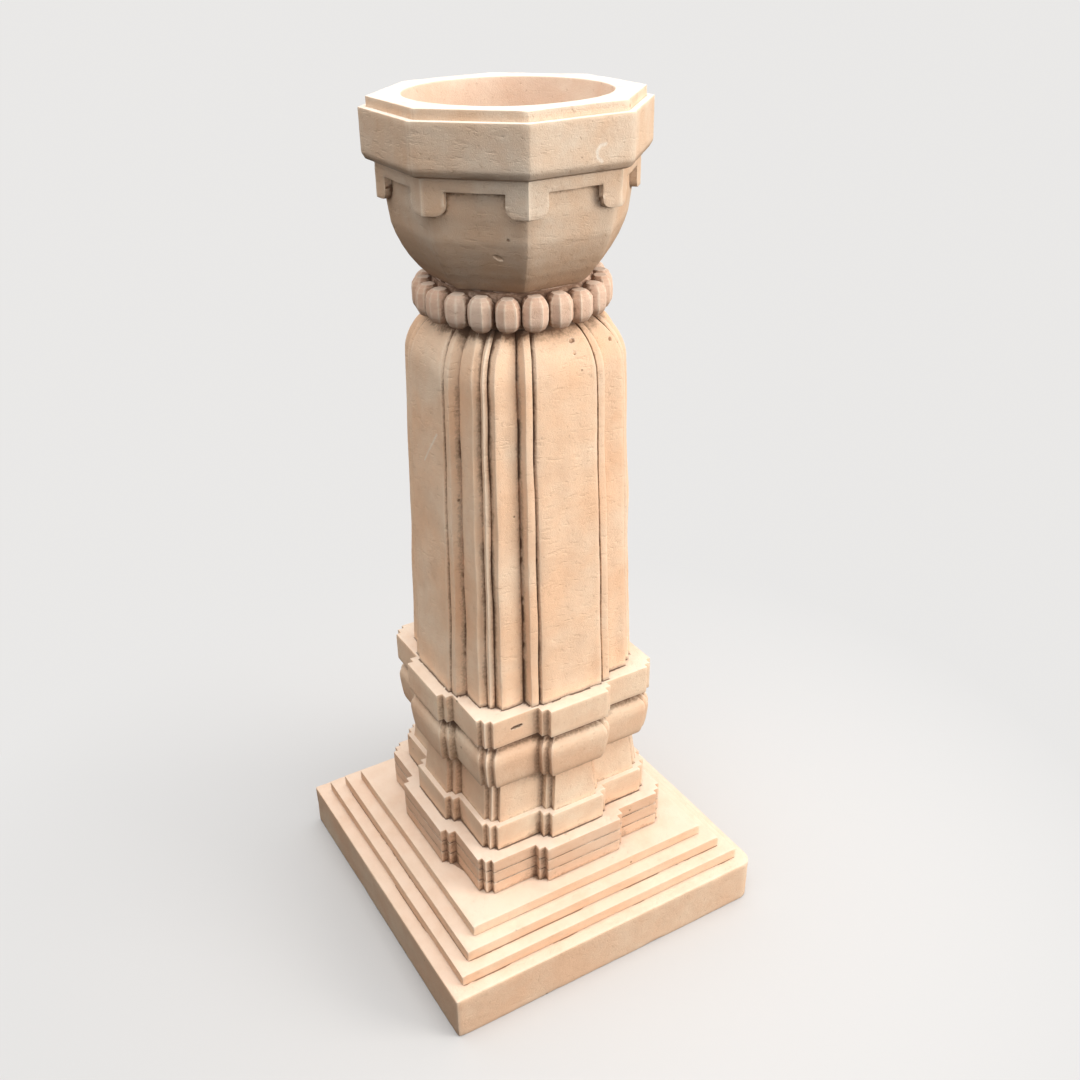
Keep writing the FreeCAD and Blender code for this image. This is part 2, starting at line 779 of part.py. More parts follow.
def make_neck_pins():
    """A pair of short bars that hold the bead ring to the head of the shaft."""
    level = f"{levels['bead_ring']} - {size('neck_pin_depth')}"
    pair = []
    for side, sign in (("right", ""), ("left", "-")):
        pin = steel_pin("neck_pin_" + side, "neck_pin_radius", "neck_pin_length", level)
        pin.setExpression("Placement.Base.x", sign + size("neck_pin_spacing"))
        pair.append(pin)
    group = doc.addObject("Part::Compound", "neck_pins")
    group.Links = pair
    keep(group, "neck_pins")


make_base_slab()
for course, half in (
    ("step_slab_lower", "lower_step_half"),
    ("step_slab_middle", "middle_step_half"),
    ("step_slab_upper", "upper_step_half"),
):
    make_step(course, half)
for course in ("plinth_slab_lower", "plinth_slab_middle", "plinth_slab_upper"):
    make_plinth_slab(course)
make_foot_course()
make_torus_course()
make_cap_course()
make_shaft()
make_bead_ring()
make_bowl()
make_core_pin()
make_neck_pins()

doc.recompute()
for item in doc.Objects:
    if "Invalid" in item.State or "Error" in item.State:
        raise RuntimeError(f"{item.Label} failed: {item.State}")
for item in nodes:
    check(item)
os.makedirs("parts", exist_ok=True)
for item in nodes:
    item.Shape.exportStep(f"parts/{item.Label}.step")
    box = item.Shape.BoundBox
    print(
        f"{item.Label}: {len(item.Shape.Solids)} solid, {item.Shape.Volume / 1e6:.3f} l,"
        f" z {box.ZMin:.2f} to {box.ZMax:.2f}, reach {box.XMax:.2f}"
    )
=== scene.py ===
# %% [markdown]
# # A carved sandstone planter on a pedestal
# The real object is a stack of stones: a stepped square base, moulded courses, a tapering shaft with
# stepped faces, a ring of beads and an octagonal bowl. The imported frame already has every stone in
# its right place and size, so each stone here is drawn round the frame's own measures, in metres.

# %% Load the frame
import math
import random

import bmesh
import bpy
from mathutils import Matrix, Vector, noise
from mathutils.bvhtree import BVHTree
from mathutils.geometry import intersect_point_line


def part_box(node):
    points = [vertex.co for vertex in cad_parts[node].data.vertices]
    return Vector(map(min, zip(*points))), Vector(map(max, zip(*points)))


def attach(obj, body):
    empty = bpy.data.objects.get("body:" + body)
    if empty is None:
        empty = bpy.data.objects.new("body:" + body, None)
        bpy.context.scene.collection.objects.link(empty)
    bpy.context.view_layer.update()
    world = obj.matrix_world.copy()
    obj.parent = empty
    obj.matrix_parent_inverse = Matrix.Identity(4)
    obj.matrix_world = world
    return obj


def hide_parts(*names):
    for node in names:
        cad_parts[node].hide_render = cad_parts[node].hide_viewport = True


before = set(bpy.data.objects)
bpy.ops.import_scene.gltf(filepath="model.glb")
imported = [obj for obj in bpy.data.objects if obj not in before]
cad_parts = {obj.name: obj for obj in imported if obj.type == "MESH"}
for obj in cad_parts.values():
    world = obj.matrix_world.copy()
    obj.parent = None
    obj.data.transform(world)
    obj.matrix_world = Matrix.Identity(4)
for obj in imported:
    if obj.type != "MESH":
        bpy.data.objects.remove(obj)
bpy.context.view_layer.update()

MM = 0.001

# %% [markdown]
# ## The camera
# The photo looks down on the planter from the front left. The lens, the distance and the small tilt
# were worked out from the edges of the square base, so the camera is placed from those numbers. A
# camera looks along its own -Z with its own +Y up, so three axes make its rotation.

# %% Place the camera
EYE = Vector((-0.5359, -0.9447, 1.0532))
TARGET = Vector((0.0, 0.0, 0.406))
ROLL = math.radians(-1.308)
LENS = 37.86
SENSOR_WIDTH = 36.0
LENS_SHIFT = (0.0193, 0.0421)
VIEW_END = 50.0


def place_camera(eye, target, roll, lens, shift):
    """A camera at eye that looks at target, turned about its line of sight by roll."""
    back = (eye - target).normalized()
    right = Vector((0, 0, 1)).cross(back).normalized()
    up = back.cross(right)
    tilted_right = right * math.cos(roll) + up * math.sin(roll)
    tilted_up = up * math.cos(roll) - right * math.sin(roll)
    camera = bpy.data.cameras.new("camera")
    camera.lens = lens
    camera.sensor_fit = "HORIZONTAL"
    camera.sensor_width = SENSOR_WIDTH
    camera.shift_x, camera.shift_y = shift
    camera.clip_end = VIEW_END
    seat = bpy.data.objects.new("camera", camera)
    axes = Matrix((tilted_right, tilted_up, back)).transposed()
    seat.matrix_world = Matrix.Translation(eye) @ axes.to_4x4()
    bpy.context.scene.collection.objects.link(seat)
    bpy.context.scene.camera = seat


place_camera(EYE, TARGET, ROLL, LENS, LENS_SHIFT)
print("camera at", [round(number, 3) for number in EYE])

# %% [markdown]
# ## Node helpers
# A material is a small network of nodes. These helpers start a finish and add one node, one noise
# mask or one mix at a time, so that a finish below reads like a recipe.


# %% Node helpers
# The Mix node's colour sockets share their names with its number sockets, so they go by place.
MIX_UNDER = 6
MIX_OVER = 7
MIX_RESULT = 2


def add_node(tree, kind, **settings):
    """A shader node with its settings. A key that names an input sets that input's value."""
    node = tree.nodes.new(kind)
    for key, setting in settings.items():
        if hasattr(node, key):
            setattr(node, key, setting)
        else:
            node.inputs[key.replace("_", " ")].default_value = setting
    return node


def join(tree, source, socket):
    """Link a socket, or set a plain value where the source isn't one."""
    if isinstance(source, bpy.types.NodeSocket):
        tree.links.new(source, socket)
    else:
        socket.default_value = source


def noise_mask(tree, point, scale, detail, low, high):
    """A noise pattern pulled apart between two levels, as a mask from 0 to 1."""
    pattern = add_node(tree, "ShaderNodeTexNoise", Scale=scale, Detail=detail, Roughness=0.6)
    tree.links.new(point, pattern.inputs["Vector"])
    return spread(tree, pattern.outputs["Fac"], low, high)


def spread(tree, source, low, high, bottom=0.0, top=1.0):
    """A value moved from the range low to high into the range bottom to top."""
    span = add_node(tree, "ShaderNodeMapRange", From_Min=low, From_Max=high, To_Min=bottom, To_Max=top)
    join(tree, source, span.inputs["Value"])
    return span.outputs["Result"]


def tint(tree, mask, under, over):
    """One colour laid over another where the mask is strong."""
    mix = add_node(tree, "ShaderNodeMix", data_type="RGBA")
    for place, source in ((0, mask), (MIX_UNDER, under), (MIX_OVER, over)):
        join(tree, source, mix.inputs[place])
    return mix.outputs[MIX_RESULT]


def maths(tree, operation, *sources):
    """A Math node on two or three sources."""
    node = add_node(tree, "ShaderNodeMath", operation=operation)
    for socket, source in zip(node.inputs, sources):
        join(tree, source, socket)
    return node.outputs[0]


def show_mix(tree, mask, under, over):
    """Show one shader with another laid over it where the mask is strong."""
    mix = add_node(tree, "ShaderNodeMixShader")
    for socket, source in zip(mix.inputs, (mask, under.outputs[0], over.outputs[0])):
        join(tree, source, socket)
    join(tree, mix.outputs[0], tree.nodes["Material Output"].inputs["Surface"])


def new_finish(name):
    """A new material, its network and its main shader."""
    finish = bpy.data.materials.new(name)
    finish.use_nodes = True
    return finish, finish.node_tree, finish.node_tree.nodes["Principled BSDF"]


# %% [markdown]
# ## Floor and light
# In the photo the light is an open sky with a bright wall to the right: tops are nearly white,
# undersides are dark, and the faces that look right are far brighter than those that look left.
# So the sky is even with a broad lamp overhead, another broad lamp stands low on the right, and the
# pale floor gives little light back. A low dark screen on the left, which the camera can't see, keeps
# the sky off the base's left face. Far off the floor fades to one even tone, like a studio sweep.

# %% Lay the floor
FLOOR_TONE = (0.60, 0.59, 0.58, 1)
FAR_TONE = (0.82, 0.81, 0.80, 1)
FLOOR_BOUNCE = (0.05, 0.045, 0.04, 1)
FLOOR_HALF = 60.0
FADE_START = 0.25
FADE_END = 0.80


def lay_sheet(name, finish, place):
    """A flat square, two metres wide until its matrix stretches, turns and moves it."""
    bm = bmesh.new()
    bmesh.ops.create_grid(bm, x_segments=1, y_segments=1, size=1.0)
    bmesh.ops.transform(bm, matrix=place, verts=bm.verts[:])
    mesh = bpy.data.meshes.new(name)
    bm.to_mesh(mesh)
    bm.free()
    mesh.materials.append(finish)
    sheet = bpy.data.objects.new(name, mesh)
    bpy.context.scene.collection.objects.link(sheet)
    return sheet


def finish_floor():
    """Pale to the camera, with a fade into one even tone far off, and dark to every other ray."""
    finish, tree, shader = new_finish("pale_floor")
    shader.inputs["Roughness"].default_value = 0.9
    shader.inputs["Specular IOR Level"].default_value = 0.0
    seen = add_node(tree, "ShaderNodeLightPath").outputs["Is Camera Ray"]
    join(tree, tint(tree, seen, FLOOR_BOUNCE, FLOOR_TONE), shader.inputs["Base Color"])
    reach = add_node(tree, "ShaderNodeVectorMath", operation="LENGTH")
    join(tree, add_node(tree, "ShaderNodeTexCoord").outputs["Object"], reach.inputs[0])
    faded = spread(tree, reach.outputs["Value"], FADE_START, FADE_END)
    haze = add_node(tree, "ShaderNodeEmission", Color=FAR_TONE, Strength=1.0)
    show_mix(tree, maths(tree, "MULTIPLY", faded, seen), shader, haze)
    return finish


floor = lay_sheet("floor", finish_floor(), Matrix.Scale(FLOOR_HALF, 4))


# %% Hang the lamps
def hang_lamp(name, place, aim, size, power, colour):
    """A square area lamp at place that shines towards aim."""
    lamp = bpy.data.lights.new(name, "AREA")
    lamp.size = size
    lamp.energy = power
    lamp.color = colour
    stand = bpy.data.objects.new(name, lamp)
    stand.location = place
    stand.rotation_euler = (Vector(aim) - Vector(place)).to_track_quat("-Z", "Y").to_euler()
    bpy.context.scene.collection.objects.link(stand)


hang_lamp(
    "bright_wall",
    place=(2.45, -2.45, 1.25),
    aim=(0, 0, 0.55),
    size=1.8,
    power=102.0,
    colour=(1.0, 0.96, 0.91),
)
hang_lamp(
    "overhead",
    place=(-0.1, -0.3, 3.6),
    aim=(0, 0, 0.5),
    size=3.0,
    power=80.0,
    colour=(1.0, 0.99, 0.97),
)
world = bpy.data.worlds.new("open_sky")
bpy.context.scene.world = world
world.use_nodes = True
sky = world.node_tree.nodes["Background"]
sky.inputs["Color"].default_value = (0.97, 0.98, 1.0, 1)
sky.inputs["Strength"].default_value = 0.84
bpy.context.scene.view_settings.view_transform = "Standard"

# %% Stand a low dark screen on the left
SCREEN_HEIGHT = 0.34
SCREEN_LENGTH = 1.8
SCREEN_MIDDLE = (-0.85, -0.2, SCREEN_HEIGHT / 2)
cloth, cloth_tree, cloth_shader = new_finish("dark_cloth")
cloth_shader.inputs["Base Color"].default_value = (0.03, 0.03, 0.03, 1)
cloth_seen = add_node(cloth_tree, "ShaderNodeLightPath").outputs["Is Camera Ray"]
show_mix(cloth_tree, cloth_seen, cloth_shader, add_node(cloth_tree, "ShaderNodeBsdfTransparent"))
stretch = Matrix.Diagonal((SCREEN_HEIGHT / 2, SCREEN_LENGTH / 2, 1.0, 1.0))
stand_up = Matrix.Translation(SCREEN_MIDDLE) @ Matrix.Rotation(math.pi / 2, 4, "Y")
screen = lay_sheet("low_screen", cloth, stand_up @ stretch)
print("floor laid, sky opened, two lamps hung, screen up")

# %% [markdown]
# ## Sandstone
# Buff sandstone is one stone with three scales of change: broad warm and pale patches, fine sand
# grain, and sparse small pits. Worn arrises are pale, partly as a painted highlight, and the tops are
# paler, as dust and as painted top light. Sheltered corners are darker, as dirt and as painted shade,
# and undersides carry painted shade. Which points those are is stored on each stone as attributes,
# and the rest is noise.


# %% A group's shell
def start_group(name, inputs, outputs):
    """An empty node group with named sockets. Each input has a kind and a starting value."""
    tree = bpy.data.node_groups.new(name, "ShaderNodeTree")
    for socket, (kind, start) in inputs.items():
        made = tree.interface.new_socket(socket, in_out="INPUT", socket_type=kind)
        made.default_value = start
    for socket, kind in outputs.items():
        tree.interface.new_socket(socket, in_out="OUTPUT", socket_type=kind)
    return tree, tree.nodes.new("NodeGroupInput"), tree.nodes.new("NodeGroupOutput")


# %% The sandstone's own pattern
CLOUD_TONE = (0.70, 0.44, 0.28, 1)
SAND_TONE = (0.55, 0.35, 0.22, 1)
SPECK_TONE = (0.42, 0.25, 0.14, 1)
PIT_TONE = (0.20, 0.11, 0.06, 1)
WORN_HIGHLIGHT_TONE = (0.93, 0.79, 0.63, 1)
SCRAPE_TONE = (0.92, 0.86, 0.76, 1)


def stored(tree, name):
    """A number stored on the stone's points."""
    return add_node(tree, "ShaderNodeAttribute", attribute_name=name).outputs["Fac"]


def make_sandstone_group():
    """Colour, roughness and height of buff sandstone, from object coordinates and the attributes."""
    colour, number = "NodeSocketColor", "NodeSocketFloat"
    tree, given, result = start_group(
        "sandstone_pattern",
        {
            "Warm": (colour, (0.90, 0.585, 0.375, 1)),
            "Pale": (colour, (0.91, 0.69, 0.50, 1)),
            "Dust": (colour, (0.95, 0.80, 0.66, 1)),
            "Dirt": (colour, (0.15, 0.075, 0.04, 1)),
            "Speckle": (number, 0.25),
            "Tooling": (number, 0.5),
            "Grime": (number, 0.0),
        },
        {"Color": colour, "Roughness": number, "Height": number},
    )

    # Broad patches, clouds, sand grain and specks.
    place = add_node(tree, "ShaderNodeTexCoord").outputs["Object"]
    patches = noise_mask(tree, place, 11.0, 5.0, 0.40, 0.66)
    body = tint(tree, patches, given.outputs["Warm"], given.outputs["Pale"])
    clouds = noise_mask(tree, place, 38.0, 6.0, 0.42, 0.75)
    body = tint(tree, maths(tree, "MULTIPLY", clouds, 0.35), body, CLOUD_TONE)
    sand = noise_mask(tree, place, 950.0, 2.0, 0.30, 0.70)
    body = tint(tree, maths(tree, "MULTIPLY", sand, 0.18), body, SAND_TONE)
    specks = noise_mask(tree, place, 210.0, 4.0, 0.60, 0.74)
    speckled = maths(tree, "MULTIPLY", specks, given.outputs["Speckle"])
    body = tint(tree, speckled, body, SPECK_TONE)

    # Pits: the middles of a few cells, chosen by each cell's own random colour.
    cells = add_node(tree, "ShaderNodeTexVoronoi", Scale=55.0)
    tree.links.new(place, cells.inputs["Vector"])
    chosen = add_node(tree, "ShaderNodeSeparateColor")
    tree.links.new(cells.outputs["Color"], chosen.inputs[0])
    few = maths(tree, "GREATER_THAN", chosen.outputs[0], 0.86)
    pits = maths(tree, "MULTIPLY", spread(tree, cells.outputs["Distance"], 0.10, 0.05), few)
    body = tint(tree, maths(tree, "MULTIPLY", pits, 0.75), body, PIT_TONE)

    # Paler worn arrises, partly a painted highlight; paler tops as dust and painted top light; painted
    # shade on undersides; and scrapes.
    worn = maths(tree, "MULTIPLY", spread(tree, stored(tree, "arris"), 0.15, 0.9), 0.55)
    body = tint(tree, worn, body, WORN_HIGHLIGHT_TONE)
    upward = stored(tree, "upward")
    # Tops made paler, as dust and as painted top light.
    top = spread(tree, upward, 0.80, 0.98)
    dust_and_top_light = maths(tree, "MULTIPLY", top, spread(tree, clouds, 0.0, 1.0, 0.75, 0.45))
    body = tint(tree, dust_and_top_light, body, given.outputs["Dust"])
    # Painted shade on faces that look down, in the dark dirt colour.
    underside_shade = maths(tree, "MULTIPLY", spread(tree, upward, 0.0, -0.8), 0.58)
    body = tint(tree, underside_shade, body, given.outputs["Dirt"])
    scuffed = spread(tree, stored(tree, "scuff"), 0.0, 0.8)
    scraped = maths(tree, "MULTIPLY", scuffed, spread(tree, sand, 0.0, 1.0, 0.7, 0.3))
    body = tint(tree, scraped, body, SCRAPE_TONE)

    # Dirt and painted shade in sheltered places, with an uneven and grainy edge. Open tops are kept
    # clear of both.
    shelter = stored(tree, "shelter")
    uneven = noise_mask(tree, place, 70.0, 3.0, 0.25, 0.75)
    grains = noise_mask(tree, place, 380.0, 2.0, 0.38, 0.62)
    shade_level = maths(tree, "ADD", shelter, given.outputs["Grime"])
    shade_level = maths(tree, "MULTIPLY_ADD", uneven, 0.12, shade_level)
    shade_level = maths(tree, "MULTIPLY_ADD", maths(tree, "SUBTRACT", grains, 0.5), 0.08, shade_level)
    open_top = maths(tree, "MULTIPLY", top, spread(tree, shelter, 0.80, 0.55))
    shade_level = maths(tree, "MULTIPLY_ADD", open_top, -0.35, shade_level)
    shade_and_grime = maths(tree, "MULTIPLY", spread(tree, shade_level, 0.44, 0.72), 0.85)
    body = tint(tree, shade_and_grime, body, given.outputs["Dirt"])
    join(tree, body, result.inputs["Color"])
    join(tree, spread(tree, sand, 0.0, 1.0, 0.80, 0.95), result.inputs["Roughness"])

    # Relief: tool strokes, sand grain, specks, scratches that run slantwise, and pits.
    strokes = noise_mask(tree, place, 65.0, 6.0, 0.25, 0.75)
    slant = (0.45, 0.45, 0.0)
    slanted = add_node(tree, "ShaderNodeMapping", Rotation=slant, Scale=(0.3, 0.3, 1.0))
    tree.links.new(place, slanted.inputs["Vector"])
    dragged = noise_mask(tree, slanted.outputs["Vector"], 230.0, 3.0, 0.57, 0.70)
    scratches = maths(tree, "MULTIPLY", dragged, given.outputs["Tooling"])
    height = maths(tree, "MULTIPLY", sand, 0.7)
    for pattern, depth in ((strokes, 1.6), (specks, -1.2), (scratches, -2.2), (pits, -5.0)):
        height = maths(tree, "MULTIPLY_ADD", pattern, depth, height)
    join(tree, height, result.inputs["Height"])
    return tree


sandstone_group = make_sandstone_group()


def sandstone(name, **values):
    """A sandstone finish with its own values on the shared pattern."""
    finish, tree, shader = new_finish(name)
    shader.inputs["Specular IOR Level"].default_value = 0.25
    pattern = add_node(tree, "ShaderNodeGroup", node_tree=sandstone_group, **values)
    bump = add_node(tree, "ShaderNodeBump", Strength=0.5, Distance=0.0006)
    tree.links.new(pattern.outputs["Color"], shader.inputs["Base Color"])
    tree.links.new(pattern.outputs["Roughness"], shader.inputs["Roughness"])
    tree.links.new(pattern.outputs["Height"], bump.inputs["Height"])
    tree.links.new(bump.outputs["Normal"], shader.inputs["Normal"])
    return finish


# Each finish's own values set the strength and colour of its painted shade and dirt, and of its paler
# tops, which are dust and painted top light.
base_stone = sandstone(
    "base_sandstone",
    Speckle=0.15,
    Tooling=0.3,
    Grime=0.05,
    Dirt=(0.30, 0.16, 0.09, 1),
    Warm=(0.82, 0.53, 0.345, 1),
    Pale=(0.85, 0.64, 0.46, 1),
    Dust=(0.93, 0.74, 0.59, 1),
)
course_stone = sandstone(
    "course_sandstone",
    Speckle=0.25,
    Tooling=0.3,
    Grime=0.22,
    Warm=(0.84, 0.55, 0.36, 1),
    Pale=(0.88, 0.68, 0.49, 1),
)
plinth_stone = sandstone(
    "plinth_sandstone",
    Speckle=0.35,
    Tooling=0.6,
    Grime=0.25,
    Warm=(0.77, 0.48, 0.31, 1),
    Pale=(0.80, 0.57, 0.41, 1),
)
shaft_stone = sandstone("shaft_sandstone", Speckle=0.2, Tooling=0.7, Grime=0.16)
bead_stone = sandstone(
    "bead_sandstone",
    Speckle=0.3,
    Tooling=0.4,
    Grime=0.12,
    Warm=(0.76, 0.50, 0.36, 1),
    Pale=(0.80, 0.61, 0.48, 1),
)
bowl_stone = sandstone(
    "bowl_sandstone",
    Speckle=0.3,
    Grime=0.12,
    Warm=(0.74, 0.51, 0.34, 1),
    Pale=(0.79, 0.66, 0.52, 1),
    Dust=(0.92, 0.87, 0.80, 1),
)
hollow_stone = sandstone(
    "bowl_inside_sandstone",
    Speckle=0.45,
    Tooling=0.1,
    Warm=(0.76, 0.57, 0.44, 1),
    Pale=(0.84, 0.71, 0.57, 1),
)
print("sandstone finishes made")

# %% [markdown]
# ## Mortar and steel
# The joints are narrow dark lines that show dotted, because sand has fallen into them here and
# there. The pins are plain drawn bars that only show when the stones are apart.

# %% Finish the mortar and the pins
MORTAR_DARK = (0.13, 0.07, 0.04, 1)
MORTAR_SAND = (0.62, 0.43, 0.29, 1)
mortar, mortar_tree, mortar_shader = new_finish("joint_mortar")
mortar_place = add_node(mortar_tree, "ShaderNodeTexCoord").outputs["Object"]
fallen_sand = noise_mask(mortar_tree, mortar_place, 210.0, 2.0, 0.52, 0.66)
mortar_colour = tint(mortar_tree, fallen_sand, MORTAR_DARK, MORTAR_SAND)
mortar_shader.inputs["Roughness"].default_value = 0.95
join(mortar_tree, mortar_colour, mortar_shader.inputs["Base Color"])

pin_steel, pin_tree, pin_shader = new_finish("pin_steel")
pin_shader.inputs["Base Color"].default_value = (0.56, 0.57, 0.58, 1)
pin_shader.inputs["Metallic"].default_value = 1.0
pin_place = add_node(pin_tree, "ShaderNodeTexCoord").outputs["Object"]
drawn = noise_mask(pin_tree, pin_place, 600.0, 2.0, 0.3, 0.7)
join(pin_tree, spread(pin_tree, drawn, 0.0, 1.0, 0.3, 0.5), pin_shader.inputs["Roughness"])

for name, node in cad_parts.items():
    if name.startswith("mortar_under_"):
        finish = mortar
    elif name.endswith(("_pin", "_pins")):
        finish = pin_steel
    else:
        continue
    node.data.materials.clear()
    node.data.materials.append(finish)
print("mortar and pins finished")

# %% [markdown]
# ## Helpers for cutting stone
# Every course is an outline seen from above, carried up a profile seen from the side, as a mason
# runs a template along a block. Edges are extruded ring by ring, so the faces come out as an even
# grid that can be worn afterwards.

# %% Outlines and profiles
SPACING = 4.0 * MM
SLACK = 0.2
WELD = 0.01 * MM
SHARP_ANGLE = math.radians(29)
stones = []


def ease(points, segments=2):
    """The same line with each inner corner rounded by its own third number, a radius."""
    line = [Vector(point[:2]) for point in points]
    eased = [line[0]]
    for number in range(1, len(line) - 1):
        corner = line[number]
        radius = points[number][2] if len(points[number]) > 2 else 0.0
        if radius == 0:
            eased.append(corner)
            continue
        start = corner + (line[number - 1] - corner).normalized() * radius
        end = corner + (line[number + 1] - corner).normalized() * radius
        for step in range(segments + 1):
            share = step / segments
            eased.append(start.lerp(corner, share).lerp(corner.lerp(end, share), share))
    return eased + [line[-1]]


def step_along(points, spacing):
    """Points along a line, at most a little more than the spacing apart."""
    stepped = [points[0]]
    for start, end in zip(points, points[1:]):
        count = max(1, math.ceil((end - start).length / spacing - SLACK))
        stepped += [start.lerp(end, step / count) for step in range(1, count + 1)]
    return stepped


def draw_line(bm, spots):
    """A chain of edges through the spots. Returns its points and edges."""
    dots = [bm.verts.new(spot) for spot in spots]
    return dots + [bm.edges.new(pair) for pair in zip(dots, dots[1:])]


def made_points(made):
    """The points among all that an operator made."""
    return [item for item in made["geom"] if isinstance(item, bmesh.types.BMVert)]


def stepped_outline(bm, points):
    """One eighth of a plan, mirrored on its diagonal and turned into the four quarters."""
    eighth = draw_line(bm, [spot.to_3d() for spot in step_along(ease(points), SPACING)])
    twin = bmesh.ops.duplicate(bm, geom=eighth)
    swap_axes = Matrix(((0, 1, 0, 0), (1, 0, 0, 0), (0, 0, 1, 0), (0, 0, 0, 1)))
    bmesh.ops.transform(bm, matrix=swap_axes, verts=made_points(twin))
    quarter = bm.verts[:] + bm.edges[:]
    bmesh.ops.spin(
        bm, geom=quarter, axis=(0, 0, 1), cent=(0, 0, 0), angle=math.tau, steps=4, use_duplicate=True
    )
    bmesh.ops.remove_doubles(bm, verts=bm.verts[:], dist=WELD)


def extrude_ring(bm, ring):
    """Pull a ring of edges out of the last one. Returns the new edges and their points."""
    dots = made_points(bmesh.ops.extrude_edge_only(bm, edges=ring))
    fresh = set(dots)
    edges = dict.fromkeys(edge for dot in dots for edge in dot.link_edges)
    return [edge for edge in edges if fresh.issuperset(edge.verts)], dots


def close_ends(bm):
    """Fill the open ends and turn every face outwards."""
    holes = [edge for edge in bm.edges if edge.is_boundary]
    bmesh.ops.holes_fill(bm, edges=holes, sides=0)
    bmesh.ops.recalc_face_normals(bm, faces=bm.faces[:])


def draw_in(dots, amount, half):
    """Move a plan's sides inwards. The middle of each side, up to half, closes up evenly."""
    for dot in dots:
        for axis in (0, 1):
            place = abs(dot.co[axis])
            place -= amount * min(1.0, place / half)
            dot.co[axis] = math.copysign(place, dot.co[axis])


def carry_up(bm, profile, half):
    """Carry the outline up a profile of (inset, level) and close both ends."""
    ring, dots = bm.edges[:], bm.verts[:]
    last = 0.0
    for number, (inset, level) in enumerate(profile):
        if number:
            ring, dots = extrude_ring(bm, ring)
        draw_in(dots, inset - last, half - last)
        for dot in dots:
            dot.co.z = level
        last = inset
    close_ends(bm)


# %% [markdown]
# Weather does three things to a cut stone. Its faces are never quite flat, its arrises are knocked,
# and small grains drop out. Each point is moved along its own normal by noise, and points on a
# sharp outer bend also lose a chip where a coarser noise is high.


# %% Wear
BROAD_NOISE = 16
FINE_NOISE = 140
BLOW_NOISE = 38
CRUMB_NOISE = 110
ARRIS_BEND = 0.05
CHIP_ABOVE = 0.22
MARK_CUTS = 4


def measure_bend(vert):
    """How sharply the surface bends outwards at a point: 0 on a flat, about 0.3 on an arris."""
    spokes = [edge.other_vert(vert).co - vert.co for edge in vert.link_edges]
    length = sum(spoke.length for spoke in spokes) / len(spokes)
    middle = sum(spokes, Vector()) / len(spokes)
    return -middle.dot(vert.normal) / length


def weather(bm, seed, broad=0.45, fine=0.12, chip=1.6):
    """Uneven faces and chipped arrises. The depths are in millimetres."""
    shift = Vector((seed * 3.7, seed * 1.9, seed * 5.3))
    arris = bm.verts.layers.float.new("arris")
    upward = bm.verts.layers.float.new("upward")
    bm.normal_update()
    moves = []
    for vert in bm.verts:
        place = vert.co + shift
        push = broad * noise.noise(place * BROAD_NOISE) + fine * noise.noise(place * FINE_NOISE)
        bend = measure_bend(vert)
        vert[arris] = min(1.0, max(0.0, bend * 4))
        vert[upward] = vert.normal.z
        if bend > ARRIS_BEND:
            blow = noise.noise(place * BLOW_NOISE) + 0.5 * noise.noise(place * CRUMB_NOISE)
            push -= chip * max(0.0, blow - CHIP_ABOVE) * min(1.0, bend * 5)
        moves.append(vert.normal * push * MM)
    for vert, move in zip(bm.verts, moves):
        vert.co += move


def cut_finer(bm, spot, reach):
    """Split the faces near a spot, so that a small mark has points of its own."""
    reach += SPACING
    near = [face for face in bm.faces if (face.calc_center_median() - spot).length < reach]
    edges = dict.fromkeys(edge for face in near for edge in face.edges)
    bmesh.ops.subdivide_edges(bm, edges=list(edges), cuts=MARK_CUTS, use_grid_fill=True)


def scrape(bm, line, half_width):
    """Mark a pale scrape along a line of spots."""
    mark = bm.verts.layers.float.get("scuff") or bm.verts.layers.float.new("scuff")
    surface = BVHTree.FromBMesh(bm)
    line = [surface.find_nearest(Vector(spot))[0] for spot in line]
    middle = sum(line, Vector()) / len(line)
    reach = max((spot - middle).length for spot in line)
    cut_finer(bm, middle, reach)
    for vert in bm.verts:
        if (vert.co - middle).length > reach + half_width:
            continue
        for start, end in zip(line, line[1:]):
            nearest, share = intersect_point_line(vert.co, start, end)
            nearest = start.lerp(end, min(1.0, max(0.0, share)))
            vert[mark] = max(vert[mark], 1 - (vert.co - nearest).length / half_width)


def knock(bm, spot, along, half_length, half_width, depth):
    """Knock an oval hollow into the surface: cut its faces finer and push the points inside it."""
    along = Vector(along).normalized()
    spot, normal = BVHTree.FromBMesh(bm).find_nearest(Vector(spot))[:2]
    cut_finer(bm, spot, half_length)
    for vert in bm.verts:
        away = vert.co - spot
        down = away.dot(along)
        across = (away - along * down).length
        share = 1 - (down / half_length) ** 2 - (across / half_width) ** 2
        if share > 0:
            vert.co -= normal * depth * min(1.0, share * 2)


def finish_stone(bm, name, body, nodes, finishes):
    """Turn a mesh into a piece that stands for the named nodes."""
    mesh = bpy.data.meshes.new(name)
    bm.to_mesh(mesh)
    bm.free()
    for finish in finishes:
        mesh.materials.append(finish)
    mesh.shade_smooth()
    mesh.set_sharp_from_angle(angle=SHARP_ANGLE)
    piece = bpy.data.objects.new(name, mesh)
    bpy.context.scene.collection.objects.link(piece)
    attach(piece, body)
    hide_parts(*nodes)
    stones.append(piece)
    print(name, len(mesh.polygons), "faces")


# %% [markdown]
# ## Base slab and steps
# A thick square slab carries three thinner ones, each smaller than the one below. The tops and the
# outer faces are sawn flat, the long edges are softened by hand, and one corner of the base is worn
# rounder than the others.

# %% Cut the square slabs
STRIP = 24.0 * MM
SLAB_HALF = 120 * MM
LAYERS = ("lower", "middle", "upper")


def block_profile(low, high, arris, inset=0.0):
    """The side of a plain block: a strip of its underside, its face and a strip of its top."""
    corners = (
        (inset + STRIP, low),
        (inset, low, arris),
        (inset, high, arris),
        (inset + STRIP, high),
    )
    return step_along(ease(corners), SPACING)


